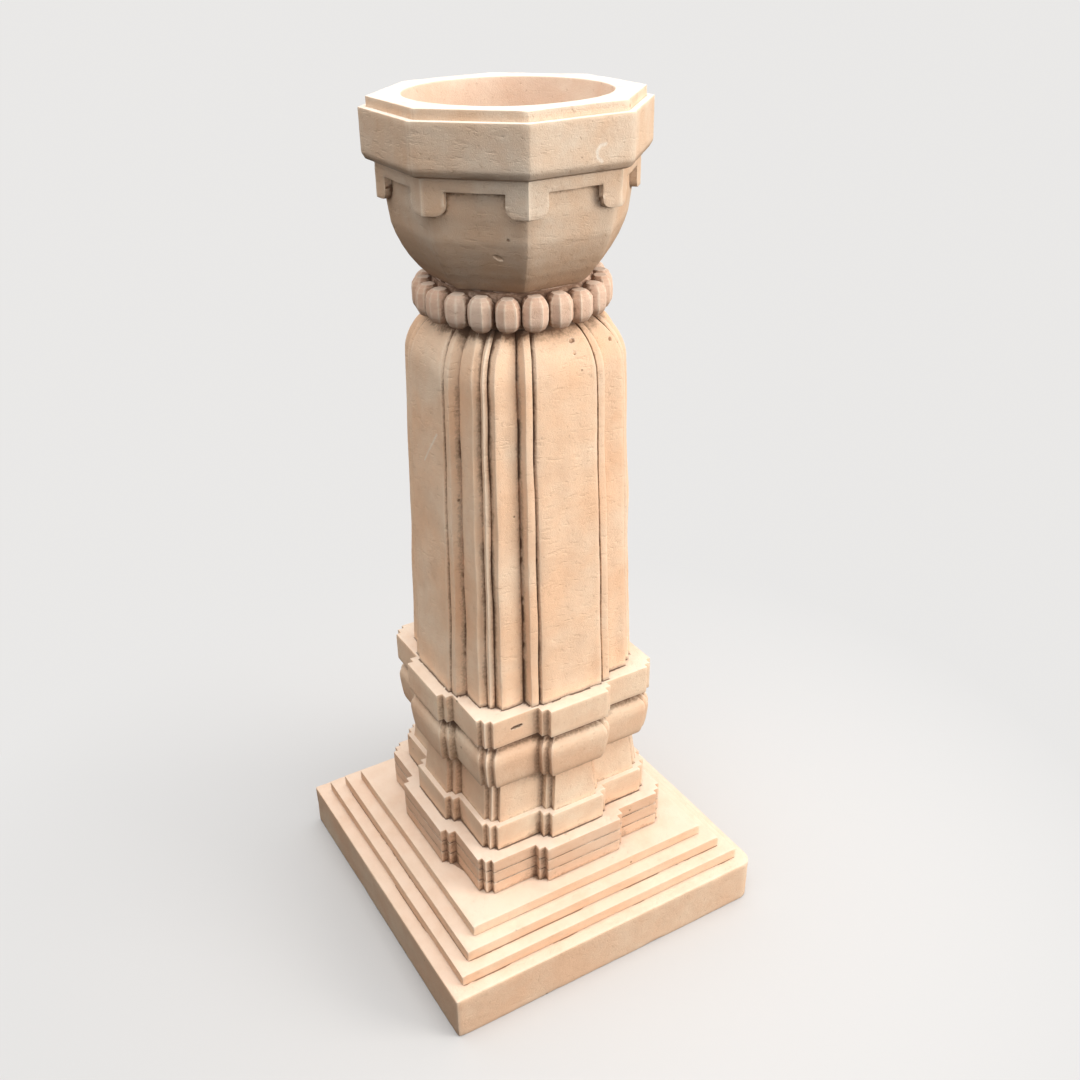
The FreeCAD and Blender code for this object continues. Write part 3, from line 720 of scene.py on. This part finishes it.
def wear_corner(bm, reach, radius):
    """Round the front right corner of a square outline."""
    for dot in bm.verts:
        past = Vector((dot.co.x, -dot.co.y)) - Vector((reach - radius, reach - radius))
        if min(past) > 0 and past.length > radius:
            past *= radius / past.length
            dot.co.x = reach - radius + past.x
            dot.co.y = radius - reach - past.y


def square_slab(name, node, arris, corner, seed, chip, worn=0.0):
    """A square slab. Its front right corner can be worn round, and no point sinks into the floor."""
    low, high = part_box(node)
    reach = high.x
    tip = reach - corner * 0.3
    bm = bmesh.new()
    stepped_outline(bm, ((reach, 0.0), (reach, reach - corner), (tip, tip)))
    wear_corner(bm, reach, worn)
    carry_up(bm, block_profile(low.z, high.z, arris), half=SLAB_HALF)
    weather(bm, seed, chip=chip)
    for vert in bm.verts:
        vert.co.z = max(vert.co.z, 0.0)
    finish_stone(bm, name, "pedestal", [node], [base_stone])


square_slab("sawn_base", "base_slab", 1.4 * MM, 2.0 * MM, seed=1, chip=2.2, worn=16 * MM)
for number, layer in enumerate(LAYERS):
    name, node = "sawn_step_" + layer, "step_slab_" + layer
    square_slab(name, node, 0.6 * MM, 1.0 * MM, seed=2 + number, chip=1.2)

# %% [markdown]
# ## The moulded courses
# Plinth, foot, torus and cap share one stepped plan. Each side has a wide centre face that stands
# out furthest, a narrow flank, a corner face and a small notch at the corner. Only the profile
# changes from course to course.

# %% The stepped plan and the plain courses
PLAN_ARRIS = 0.6 * MM
PLAN = (
    (139.0 * MM, 0.0),
    (139.0 * MM, 49.0 * MM, PLAN_ARRIS),
    (132.0 * MM, 49.0 * MM, 0.4 * MM),
    (132.0 * MM, 56.5 * MM, PLAN_ARRIS),
    (124.0 * MM, 56.5 * MM, 0.4 * MM),
    (124.0 * MM, 111.0 * MM, PLAN_ARRIS),
    (118.5 * MM, 111.0 * MM, 0.4 * MM),
    (118.5 * MM, 118.5 * MM),
)
CENTRE_HALF = 49.0 * MM


def moulded_course(name, node, profile, seed, finish=course_stone, knocks=()):
    """The stepped plan carried up a profile, with its knocks and its wear."""
    bm = bmesh.new()
    stepped_outline(bm, PLAN)
    carry_up(bm, profile, half=CENTRE_HALF)
    for place in knocks:
        knock(bm, *place)
    weather(bm, seed, chip=1.2)
    finish_stone(bm, name, "pedestal", [node], [finish])


for number, layer in enumerate(LAYERS):
    low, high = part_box("plinth_slab_" + layer)
    profile = block_profile(low.z, high.z, 0.35 * MM)
    moulded_course("cut_plinth_" + layer, "plinth_slab_" + layer, profile, 10 + number, plinth_stone)

# %% The foot course: a square ledge with a steep batter above it
low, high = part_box("foot_course")
LEDGE_HEIGHT = 32.0 * MM
LEDGE_INSET = 14.5 * MM
BATTER_FOOT = 21.0 * MM
BATTER_HEAD = 26.0 * MM
foot_profile = (
    (LEDGE_INSET + STRIP, low.z),
    (LEDGE_INSET, low.z, 0.5 * MM),
    (LEDGE_INSET, low.z + LEDGE_HEIGHT, 0.8 * MM),
    (BATTER_FOOT, low.z + LEDGE_HEIGHT, 0.4 * MM),
    (BATTER_HEAD, high.z, 0.6 * MM),
    (BATTER_HEAD + STRIP, high.z),
)
moulded_course("carved_foot", "foot_course", step_along(ease(foot_profile), SPACING), 20)

# %% [markdown]
# The torus is a cushion moulding. Its belly is fullest above the middle, its lower edge is a sharp
# arris that overhangs a narrow quirk, and a flat recess above it throws a shadow under the cap.

# %% The torus course
low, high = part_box("torus_course")
# Each row is a share of the course's height and the share of the bulge there.
TORUS_SHARES = (
    (0.0, 0.40),
    (0.03, 0.56),
    (0.09, 0.70),
    (0.18, 0.80),
    (0.30, 0.88),
    (0.45, 0.95),
    (0.58, 1.0),
    (0.64, 1.0),
    (0.70, 0.95),
    (0.755, 0.86),
    (0.81, 0.66),
    (0.85, 0.42),
    (0.90, 0.0),
    (1.0, 0.0),
)
TORUS_BULGE = 10.5 * MM
RECESS_INSET = 23.0 * MM
rise = high.z - low.z
belly = [Vector((RECESS_INSET + STRIP, low.z))]
belly += [Vector((RECESS_INSET - TORUS_BULGE * out, low.z + rise * up)) for up, out in TORUS_SHARES]
belly.append(Vector((RECESS_INSET + STRIP, high.z)))
moulded_course("carved_torus", "torus_course", step_along(belly, SPACING), 21)

# %% The cap course, with the chisel's slip on its front corner face
low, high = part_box("cap_course")
CAP_INSET = 12.5 * MM
slip = ((-70 * MM, -111.5 * MM, low.z + 19 * MM), (1, 0, 0.05), 7.5 * MM, 1.9 * MM, 5.0 * MM)
profile = block_profile(low.z, high.z, 0.8 * MM, CAP_INSET)
moulded_course("carved_cap", "cap_course", profile, 22, knocks=[slip])

# %% [markdown]
# ## The shaft
# One tall stone on a stepped plan of its own. It tapers by an eighth of its width, and its faces
# round over into the neck at the top. The mason cut a line with the edge of a chisel down every
# inner corner, so each step in the plan has a small dark groove, and no line is quite straight.

# %% Draw the shaft's plan
SHAFT_PLAN = (
    (111.0 * MM, 0.0),
    (111.0 * MM, 37.4 * MM, 2.0 * MM),
    (105.6 * MM, 38.8 * MM, 0.5 * MM),
    (108.4 * MM, 40.6 * MM, 0.8 * MM),
    (108.4 * MM, 49.2 * MM, 1.6 * MM),
    (94.6 * MM, 50.4 * MM, 0.5 * MM),
    (97.2 * MM, 53.4 * MM, 1.2 * MM),
    (97.2 * MM, 79.6 * MM, 1.8 * MM),
    (86.4 * MM, 81.2 * MM, 0.5 * MM),
    (88.5 * MM, 83.2 * MM, 0.6 * MM),
    (88.5 * MM, 88.5 * MM),
)
TAPER_SHARE = 0.127
SHOULDER_HEIGHT = 47.0 * MM
SHOULDER_DEPTH = 22.0 * MM
SHOULDER_TURN = math.radians(52.0)
# Each knock is a spot, the way it runs, its half length, its half width and its depth.
SHAFT_KNOCKS = (
    ((11.6 * MM, -97 * MM, 716 * MM), (1, 0, 0.3), 3.6 * MM, 2.4 * MM, 2.2 * MM),
    ((11.4 * MM, -97 * MM, 701 * MM), (0, 0, 1), 2.6 * MM, 2.0 * MM, 1.6 * MM),
    ((59.6 * MM, -86 * MM, 703 * MM), (0, 0, 1), 2.6 * MM, 1.8 * MM, 1.6 * MM),
)
GROOVES = (Vector((105.6, 38.8)) * MM, Vector((94.6, 50.4)) * MM, Vector((86.4, 81.2)) * MM)
GROOVE_HALF = 2.4 * MM
GROOVE_DEPTH = 1.0 * MM
GROOVE_DEEPENS = 5.0 * MM
DEEPENS_OVER = 90 * MM
DEEPENS_BELOW = 60 * MM
WANDER = 1.2 * MM


def shaft_inset(above):
    """How far the faces have rounded in at a height above the foot of the shoulder."""
    if above <= 0:
        return 0.0
    turn = math.asin(min(1.0, above / SHOULDER_HEIGHT) * math.sin(SHOULDER_TURN))
    return SHOULDER_DEPTH * (1 - math.cos(turn)) / (1 - math.cos(SHOULDER_TURN))


def shaft_share(place):
    """The share of the inset that a coordinate takes: half between centre and flank, then all."""
    place = abs(place)
    stops = ((0.0, 0.0), (34 * MM, 0.5), (46 * MM, 0.5), (80 * MM, 1.0), (1.0, 1.0))
    for (start, low_share), (end, high_share) in zip(stops, stops[1:]):
        if place <= end:
            return low_share + (high_share - low_share) * (place - start) / (end - start)
    return 1.0


def groove_share(spot):
    """1 at the bottom of a groove in the plan, 0 elsewhere."""
    spot = Vector((max(abs(spot.x), abs(spot.y)), min(abs(spot.x), abs(spot.y))))
    return max(max(0.0, 1 - (spot - groove).length / GROOVE_HALF) for groove in GROOVES)


# %% Carve the shaft
def carve_shaft():
    """The plan carried up in steps. Each step is a level and an inset that closes the ends."""
    low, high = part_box("shaft")
    rise = high.z - low.z
    shoulder = rise - SHOULDER_HEIGHT
    bm = bmesh.new()
    spot_number = bm.verts.layers.int.new("spot_number")
    stepped_outline(bm, SHAFT_PLAN)
    ring, dots = bm.edges[:], bm.verts[:]
    plan = [dot.co.xy.copy() for dot in dots]
    cuts = [groove_share(spot) for spot in plan]
    for number, dot in enumerate(dots):
        dot[spot_number] = number
    upright = step_along([Vector((0, 0)), Vector((shoulder, 0))], 5 * MM)
    rounded = step_along([Vector((shoulder, 0)), Vector((rise, 0))], 3 * MM)
    steps = [(0.0, 30 * MM), (0.0, 15 * MM)]
    steps += [(spot.x, 0.0) for spot in upright[:-1] + rounded]
    steps += [(rise, 12 * MM), (rise, 24 * MM), (rise, 36 * MM)]
    for number, (level, end_inset) in enumerate(steps):
        if number:
            ring, dots = extrude_ring(bm, ring)
        taper = 1 - TAPER_SHARE * level / rise
        inset = shaft_inset(level - shoulder)
        late = (level - shoulder + DEEPENS_BELOW) / DEEPENS_OVER
        deeper = GROOVE_DEPTH + GROOVE_DEEPENS * min(1.0, max(0.0, late))
        for dot in dots:
            spot = plan[dot[spot_number]]
            for axis, across in enumerate(spot):
                reach = abs(across) * taper - inset * shaft_share(across)
                if abs(across) >= max(abs(part) for part in spot):
                    reach -= deeper * cuts[dot[spot_number]]
                reach -= end_inset * min(1.0, abs(across) / (50 * MM))
                dot.co[axis] = math.copysign(max(reach, 0.0), across)
            dot.co.z = low.z + level
    close_ends(bm)
    for vert in bm.verts:
        spot = Vector((vert.co.x * 55, vert.co.y * 55, vert.co.z * 16))
        vert.co.x += WANDER * noise.noise(spot)
        vert.co.y += WANDER * noise.noise(spot + Vector((9, 4, 2)))
    for place in SHAFT_KNOCKS:
        knock(bm, *place)
    scrape(bm, ((-102 * MM, 5 * MM, 582 * MM), (-101 * MM, -23 * MM, 619 * MM)), 1.6 * MM)
    weather(bm, 30, broad=0.7, fine=0.15, chip=1.6)
    finish_stone(bm, "carved_shaft", "pedestal", ["shaft"], [shaft_stone])


carve_shaft()

# %% [markdown]
# ## The bead ring
# A plain round neck with 22 beads carved round it. Each bead is a barrel with flat facets, because
# a mason cuts a bead with straight strokes, and no two are quite alike. At the back a weep groove
# runs out between two of them, so that water from the drain doesn't stand in the socket.

# %% Carve the neck and its beads
BEAD_COUNT = 22
BEAD_MIDDLE = 84.5 * MM
NECK = 77.0 * MM
WEEP_TURN = math.radians(81.8)
WEEP_HALF = 4.0 * MM
WEEP_DEPTH = 22.0 * MM
SOCKET_RADIUS = 46.0 * MM
SOCKET_DEPTH = 22.0 * MM
BEAD_DEEP = 13.0 * MM
BEAD_WIDE = 12.5 * MM
# Each row is a share of the bead's height and the share of its width there.
BEAD_SHARES = (
    (0.0, 0.48),
    (0.08, 0.76),
    (0.22, 0.95),
    (0.36, 1.0),
    (0.64, 1.0),
    (0.78, 0.95),
    (0.92, 0.76),
    (1.0, 0.48),
)


def pour_into(bm, part):
    """Add one mesh to another and free it."""
    holder = bpy.data.meshes.new("holder")
    part.to_mesh(holder)
    part.free()
    bm.from_mesh(holder)
    bpy.data.meshes.remove(holder)


def carve_bead(angle, low, high, rng):
    """One faceted barrel. Its rings are an eight-sided outline carried up a bulging profile."""
    bead = bmesh.new()
    bmesh.ops.create_circle(bead, segments=8, radius=1.0, cap_ends=False)
    slant = Matrix.Rotation(rng.uniform(-0.4, 0.4), 3, "Z")
    bmesh.ops.rotate(bead, verts=bead.verts[:], cent=(0, 0, 0), matrix=slant)
    for dot in bead.verts:
        for axis in (0, 1):
            dot.co[axis] = math.copysign(abs(dot.co[axis]) ** 0.8, dot.co[axis])
    bmesh.ops.subdivide_edges(bead, edges=bead.edges[:], cuts=3)
    ring, dots = bead.edges[:], bead.verts[:]
    profile = step_along([Vector(spot) for spot in BEAD_SHARES], 0.09)
    last = 1.0
    for number, (up, out) in enumerate(profile):
        if number:
            ring, dots = extrude_ring(bead, ring)
        bmesh.ops.scale(bead, vec=(out / last, out / last, 1), verts=dots)
        for dot in dots:
            dot.co.z = up
        last = out
    close_ends(bead)
    foot = low + rng.uniform(0.3, 1.2) * MM
    head = high - rng.uniform(1.5, 3.5) * MM
    deep = BEAD_DEEP * rng.uniform(0.96, 1.02)
    wide = BEAD_WIDE * rng.uniform(0.97, 1.03)
    lean = rng.uniform(-1.0, 1.0) * MM
    size = Matrix.Diagonal((deep, wide, head - foot, 1))
    size[1][2] = lean
    place = Matrix.Translation((BEAD_MIDDLE, -lean / 2, foot))
    turn = Matrix.Rotation(angle, 4, "Z")
    bmesh.ops.transform(bead, matrix=turn @ place @ size, verts=bead.verts[:])
    return bead


def carve_bead_ring():
    """All the beads, then the neck turned round inside them and its weep groove."""
    low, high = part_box("bead_ring")
    rng = random.Random(22)
    bm = bmesh.new()
    for number in range(BEAD_COUNT):
        angle = -math.pi / 2 + math.tau * number / BEAD_COUNT
        pour_into(bm, carve_bead(angle, low.z, high.z, rng))
    beads = set(bm.verts)
    corners = (
        (SOCKET_RADIUS, high.z - SOCKET_DEPTH),
        (SOCKET_RADIUS, high.z, 0.6 * MM),
        (NECK - 1.5 * MM, high.z, 1.5 * MM),
        (NECK + 1.0 * MM, high.z - 6 * MM, 2 * MM),
        (NECK + 1.0 * MM, low.z, 1 * MM),
        (30.0 * MM, low.z),
    )
    side = draw_line(bm, [(spot.x, 0, spot.y) for spot in step_along(ease(corners), SPACING)])
    bmesh.ops.spin(
        bm, geom=side, axis=(0, 0, 1), cent=(0, 0, 0), angle=math.tau, steps=132, use_merge=True
    )
    neck = [vert for vert in bm.verts if vert not in beads]
    along = Vector((math.cos(WEEP_TURN), math.sin(WEEP_TURN), 0))
    across = Vector((-along.y, along.x, 0))
    for vert in neck:
        if vert.co.dot(along) > 40 * MM and abs(vert.co.dot(across)) < WEEP_HALF:
            vert.co.z = min(vert.co.z, high.z - WEEP_DEPTH)
    bmesh.ops.remove_doubles(bm, verts=neck, dist=WELD)
    close_ends(bm)
    weather(bm, 40, broad=0.5, fine=0.2, chip=1.2)
    finish_stone(bm, "carved_bead_ring", "pedestal", ["bead_ring"], [bead_stone])


carve_bead_ring()

# %% [markdown]
# ## The bowl
# An octagonal planter cut from one block: a spigot and a belly below, a plain band, a heavy rim with
# a lip, and a round hollow with a drain hole. One ring of points is carried from the drain, round
# the outside, over the lip and down the inside, and at each level it is either eight-sided or round.

# %% Shape the bowl's body
SIDE_TURN = math.pi / 4
CORNER_TURN = math.pi / 8
WORN_CORNER = 0.5 * MM
CORNER_ZONE = math.radians(2)
FOOT_BELOW_TOP = 158.5 * MM
FLOOR_ABOVE_FOOT = 40.5 * MM
DRAIN_RADIUS = 8.0 * MM
SPIGOT_RADIUS = 45.0 * MM


def octagon_reach(angle, radius):
    """The distance from the axis to an octagon whose corners lie at this radius."""
    off_flat = (angle + CORNER_TURN) % SIDE_TURN - CORNER_TURN
    return min(radius * math.cos(CORNER_TURN) / math.cos(off_flat), radius - WORN_CORNER)


def carve_bowl():
    """The block's one closed skin, and the level of the belly's foot."""
    low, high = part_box("bowl")
    foot = high.z - FOOT_BELOW_TOP
    top = high.z
    spigot = (
        (DRAIN_RADIUS, low.z),
        (26.0 * MM, low.z),
        (SPIGOT_RADIUS - 0.8 * MM, low.z),
        (SPIGOT_RADIUS, low.z + 0.8 * MM),
        (SPIGOT_RADIUS, foot - 6 * MM),
        (SPIGOT_RADIUS, foot),
        (60.0 * MM, foot),
    )
    outside = (
        (72.0 * MM, foot),
        (80.0 * MM, foot, 1.5 * MM),
        (88.6 * MM, foot + 8 * MM),
        (97.0 * MM, foot + 18 * MM),
        (103.6 * MM, foot + 29 * MM),
        (108.6 * MM, foot + 40 * MM),
        (112.0 * MM, foot + 50 * MM),
        (115.0 * MM, foot + 72.5 * MM),
        (115.0 * MM, foot + 104.5 * MM),
        (126.0 * MM, foot + 104.5 * MM, 0.5 * MM),
        (130.4 * MM, foot + 106.4 * MM),
        (133.6 * MM, foot + 111.5 * MM, 2.0 * MM),
        (133.6 * MM, top - 8.7 * MM, 1.2 * MM),
        (126.3 * MM, top - 8.7 * MM, 0.5 * MM),
        (126.3 * MM, top, 1.2 * MM),
        (112.0 * MM, top),
    )
    inside = (
        (103.0 * MM, top),
        (94.4 * MM, top, 1.5 * MM),
        (76.0 * MM, foot + 60 * MM, 12.0 * MM),
        (60.0 * MM, foot + FLOOR_ABOVE_FOOT, 6.0 * MM),
        (DRAIN_RADIUS, foot + FLOOR_ABOVE_FOOT, 0.8 * MM),
        (DRAIN_RADIUS, low.z),
    )
    path = [(radius, level, True) for radius, level in spigot]
    path += [(spot.x, spot.y, False) for spot in step_along(ease(outside), SPACING)]
    path += [(spot.x, spot.y, True) for spot in step_along(ease(inside, 5), SPACING)]
    bm = bmesh.new()
    bmesh.ops.create_circle(bm, segments=240, radius=1.0, cap_ends=False)
    ring, dots = bm.edges[:], bm.verts[:]
    first = ring
    for dot in dots:
        angle = math.atan2(dot.co.y, dot.co.x)
        past_corner = angle % SIDE_TURN - CORNER_TURN
        if 0.001 < abs(past_corner) < CORNER_ZONE:
            angle -= past_corner * 0.7
        dot.co = Vector((math.cos(angle), math.sin(angle), 0))
    for number, (radius, level, rounded) in enumerate(path[:-1]):
        if number:
            ring, dots = extrude_ring(bm, ring)
        for dot in dots:
            angle = math.atan2(dot.co.y, dot.co.x)
            reach = radius if rounded else octagon_reach(angle, radius)
            dot.co = Vector((math.cos(angle) * reach, math.sin(angle) * reach, level))
    bmesh.ops.bridge_loops(bm, edges=first + ring)
    bmesh.ops.recalc_face_normals(bm, faces=bm.faces[:])
    return bm, foot


# %% [markdown]
# Under the rim a thin band runs round with a tab at each corner, like a cloth hung over the edge.
# One side of it is drawn flat with its two half tabs, given a thickness, cut into a grid and turned
# eight times about the axis.


# %% Hang the band and its tabs
BAND_RADIUS = 122.5 * MM
BAND_DEPTH = 7.0 * MM
TAB_HALF = 20.0 * MM
TAB_BEND = 10.5 * MM


def carve_band(bm, foot):
    """Pour the band and its tabs into the bowl's mesh."""
    flat = BAND_RADIUS * math.cos(CORNER_TURN)
    side = BAND_RADIUS * math.sin(CORNER_TURN)
    inner = side - TAB_HALF
    drop, head, top = foot + 72.5 * MM, foot + 93.0 * MM, foot + 105.5 * MM
    half = (
        (0.0, head),
        (inner, head, 1.0 * MM),
        (inner, drop + TAB_BEND),
        (inner, drop, TAB_BEND),
        (side, drop),
        (side, top),
    )
    line = ease(half, 6)
    band = bmesh.new()
    loop = line + [Vector((-spot.x, spot.y)) for spot in reversed(line[1:])]
    dots = [band.verts.new((flat, spot.x, spot.y)) for spot in loop]
    front = band.faces.new(dots)
    for dot in made_points(bmesh.ops.extrude_face_region(band, geom=[front])):
        dot.co.x -= BAND_DEPTH
        if abs(abs(dot.co.y) - side) < WELD:
            dot.co.y -= math.copysign(BAND_DEPTH * math.tan(CORNER_TURN), dot.co.y)
    edges = [
        edge
        for edge in band.edges
        if all(abs(vert.co.x - flat) < WELD for vert in edge.verts)
        and not all(abs(abs(vert.co.y) - side) < WELD for vert in edge.verts)
    ]
    bmesh.ops.bevel(
        band, geom=edges, offset=0.7 * MM, segments=2, profile=0.5, affect="EDGES", material=-1
    )
    mitres = [
        face
        for face in band.faces
        if all(abs(vert.co.y) > side - 4 * MM for vert in face.verts)
        and abs(face.normal.y) > 0.5
        and abs(face.normal.x) > 0.2
    ]
    bmesh.ops.delete(band, geom=mitres, context="FACES")
    for axis, start, end in ((1, -side, side), (2, drop, top)):
        normal = Vector((0, 0, 0))
        normal[axis] = 1.0
        count = round((end - start) / SPACING)
        for step in range(1, count):
            spot = normal * (start + (end - start) * step / count)
            geom = band.verts[:] + band.edges[:] + band.faces[:]
            bmesh.ops.bisect_plane(band, geom=geom, dist=0.001 * MM, plane_co=spot, plane_no=normal)
    geom = band.verts[:] + band.edges[:] + band.faces[:]
    bmesh.ops.spin(
        band, geom=geom, axis=(0, 0, 1), cent=(0, 0, 0), angle=math.tau, steps=8, use_duplicate=True
    )
    bmesh.ops.remove_doubles(band, verts=band.verts[:], dist=0.05 * MM)
    bmesh.ops.recalc_face_normals(band, faces=band.faces[:])
    print("band", len(band.faces), "open edges", sum(edge.is_boundary for edge in band.edges))
    pour_into(bm, band)


def finish_bowl():
    """Give the hollow its own finish, then add the band, a gouge on the belly and a pale crescent."""
    bm, foot = carve_bowl()
    for face in bm.faces:
        middle = face.calc_center_median()
        if middle.xy.length < 95 * MM and middle.z > foot + 38 * MM:
            face.material_index = 1
    carve_band(bm, foot)
    gouge = (-59.4 * MM, -80.8 * MM, foot + 37 * MM)
    knock(bm, gouge, (10, -6, -6), 5 * MM, 2.2 * MM, 1.4 * MM)
    crescent = []
    for turn in (75, 120, 165, 210, 255):
        out, up = 7 * math.cos(math.radians(turn)), 7 * math.sin(math.radians(turn))
        crescent.append(((20 + out) * MM, -123.4 * MM, foot + (121 + up) * MM))
    scrape(bm, crescent, 2.2 * MM)
    weather(bm, 50, broad=0.6, fine=0.15, chip=1.5)
    finish_stone(bm, "carved_bowl", "bowl", ["bowl"], [bowl_stone, hollow_stone])


finish_bowl()

# %% [markdown]
# ## Sheltered corners
# Open faces stay clean, and dirt and painted shade go where a stone is sheltered. To find those
# places, each point looks out in a fan of directions and counts how many are blocked close by. What
# lies below counts less, so the painted shade stays light at the foot of a stone.


# %% Measure the shelter
STAND_OFF = 0.5 * MM
# The weight of blocked directions below, which keeps the painted shade light at the foot of a stone.
BELOW_WEIGHT = 0.4


def measure_shelter(pieces, reach):
    """Store on each point the share of its outlook that is blocked within reach."""
    joined = bmesh.new()
    for piece in pieces:
        joined.from_mesh(piece.data)
    tree = BVHTree.FromBMesh(joined)
    joined.free()
    fan = [(0.0, 0.0)]
    fan += [(math.radians(40), math.tau * turn / 4) for turn in range(4)]
    fan += [(math.radians(70), math.tau * (turn + 0.5) / 6) for turn in range(6)]
    for piece in pieces:
        mesh = piece.data
        store = mesh.attributes.new("shelter", "FLOAT", "POINT")
        shares = []
        for vert in mesh.vertices:
            normal = vert.normal
            side = normal.orthogonal().normalized()
            other = normal.cross(side)
            start = vert.co + normal * STAND_OFF
            blocked = 0.0
            for tilt, turn in fan:
                outwards = side * math.cos(turn) + other * math.sin(turn)
                way = normal * math.cos(tilt) + outwards * math.sin(tilt)
                spot, _, _, away = tree.ray_cast(start, way, reach)
                if spot is not None:
                    weight = BELOW_WEIGHT if way.z < -0.2 else 1.0
                    blocked += weight * (1 - 0.5 * away / reach)
            shares.append(blocked / len(fan))
        store.data.foreach_set("value", shares)
    print("shelter measured on", sum(len(piece.data.vertices) for piece in pieces), "points")


measure_shelter(stones, 22 * MM)
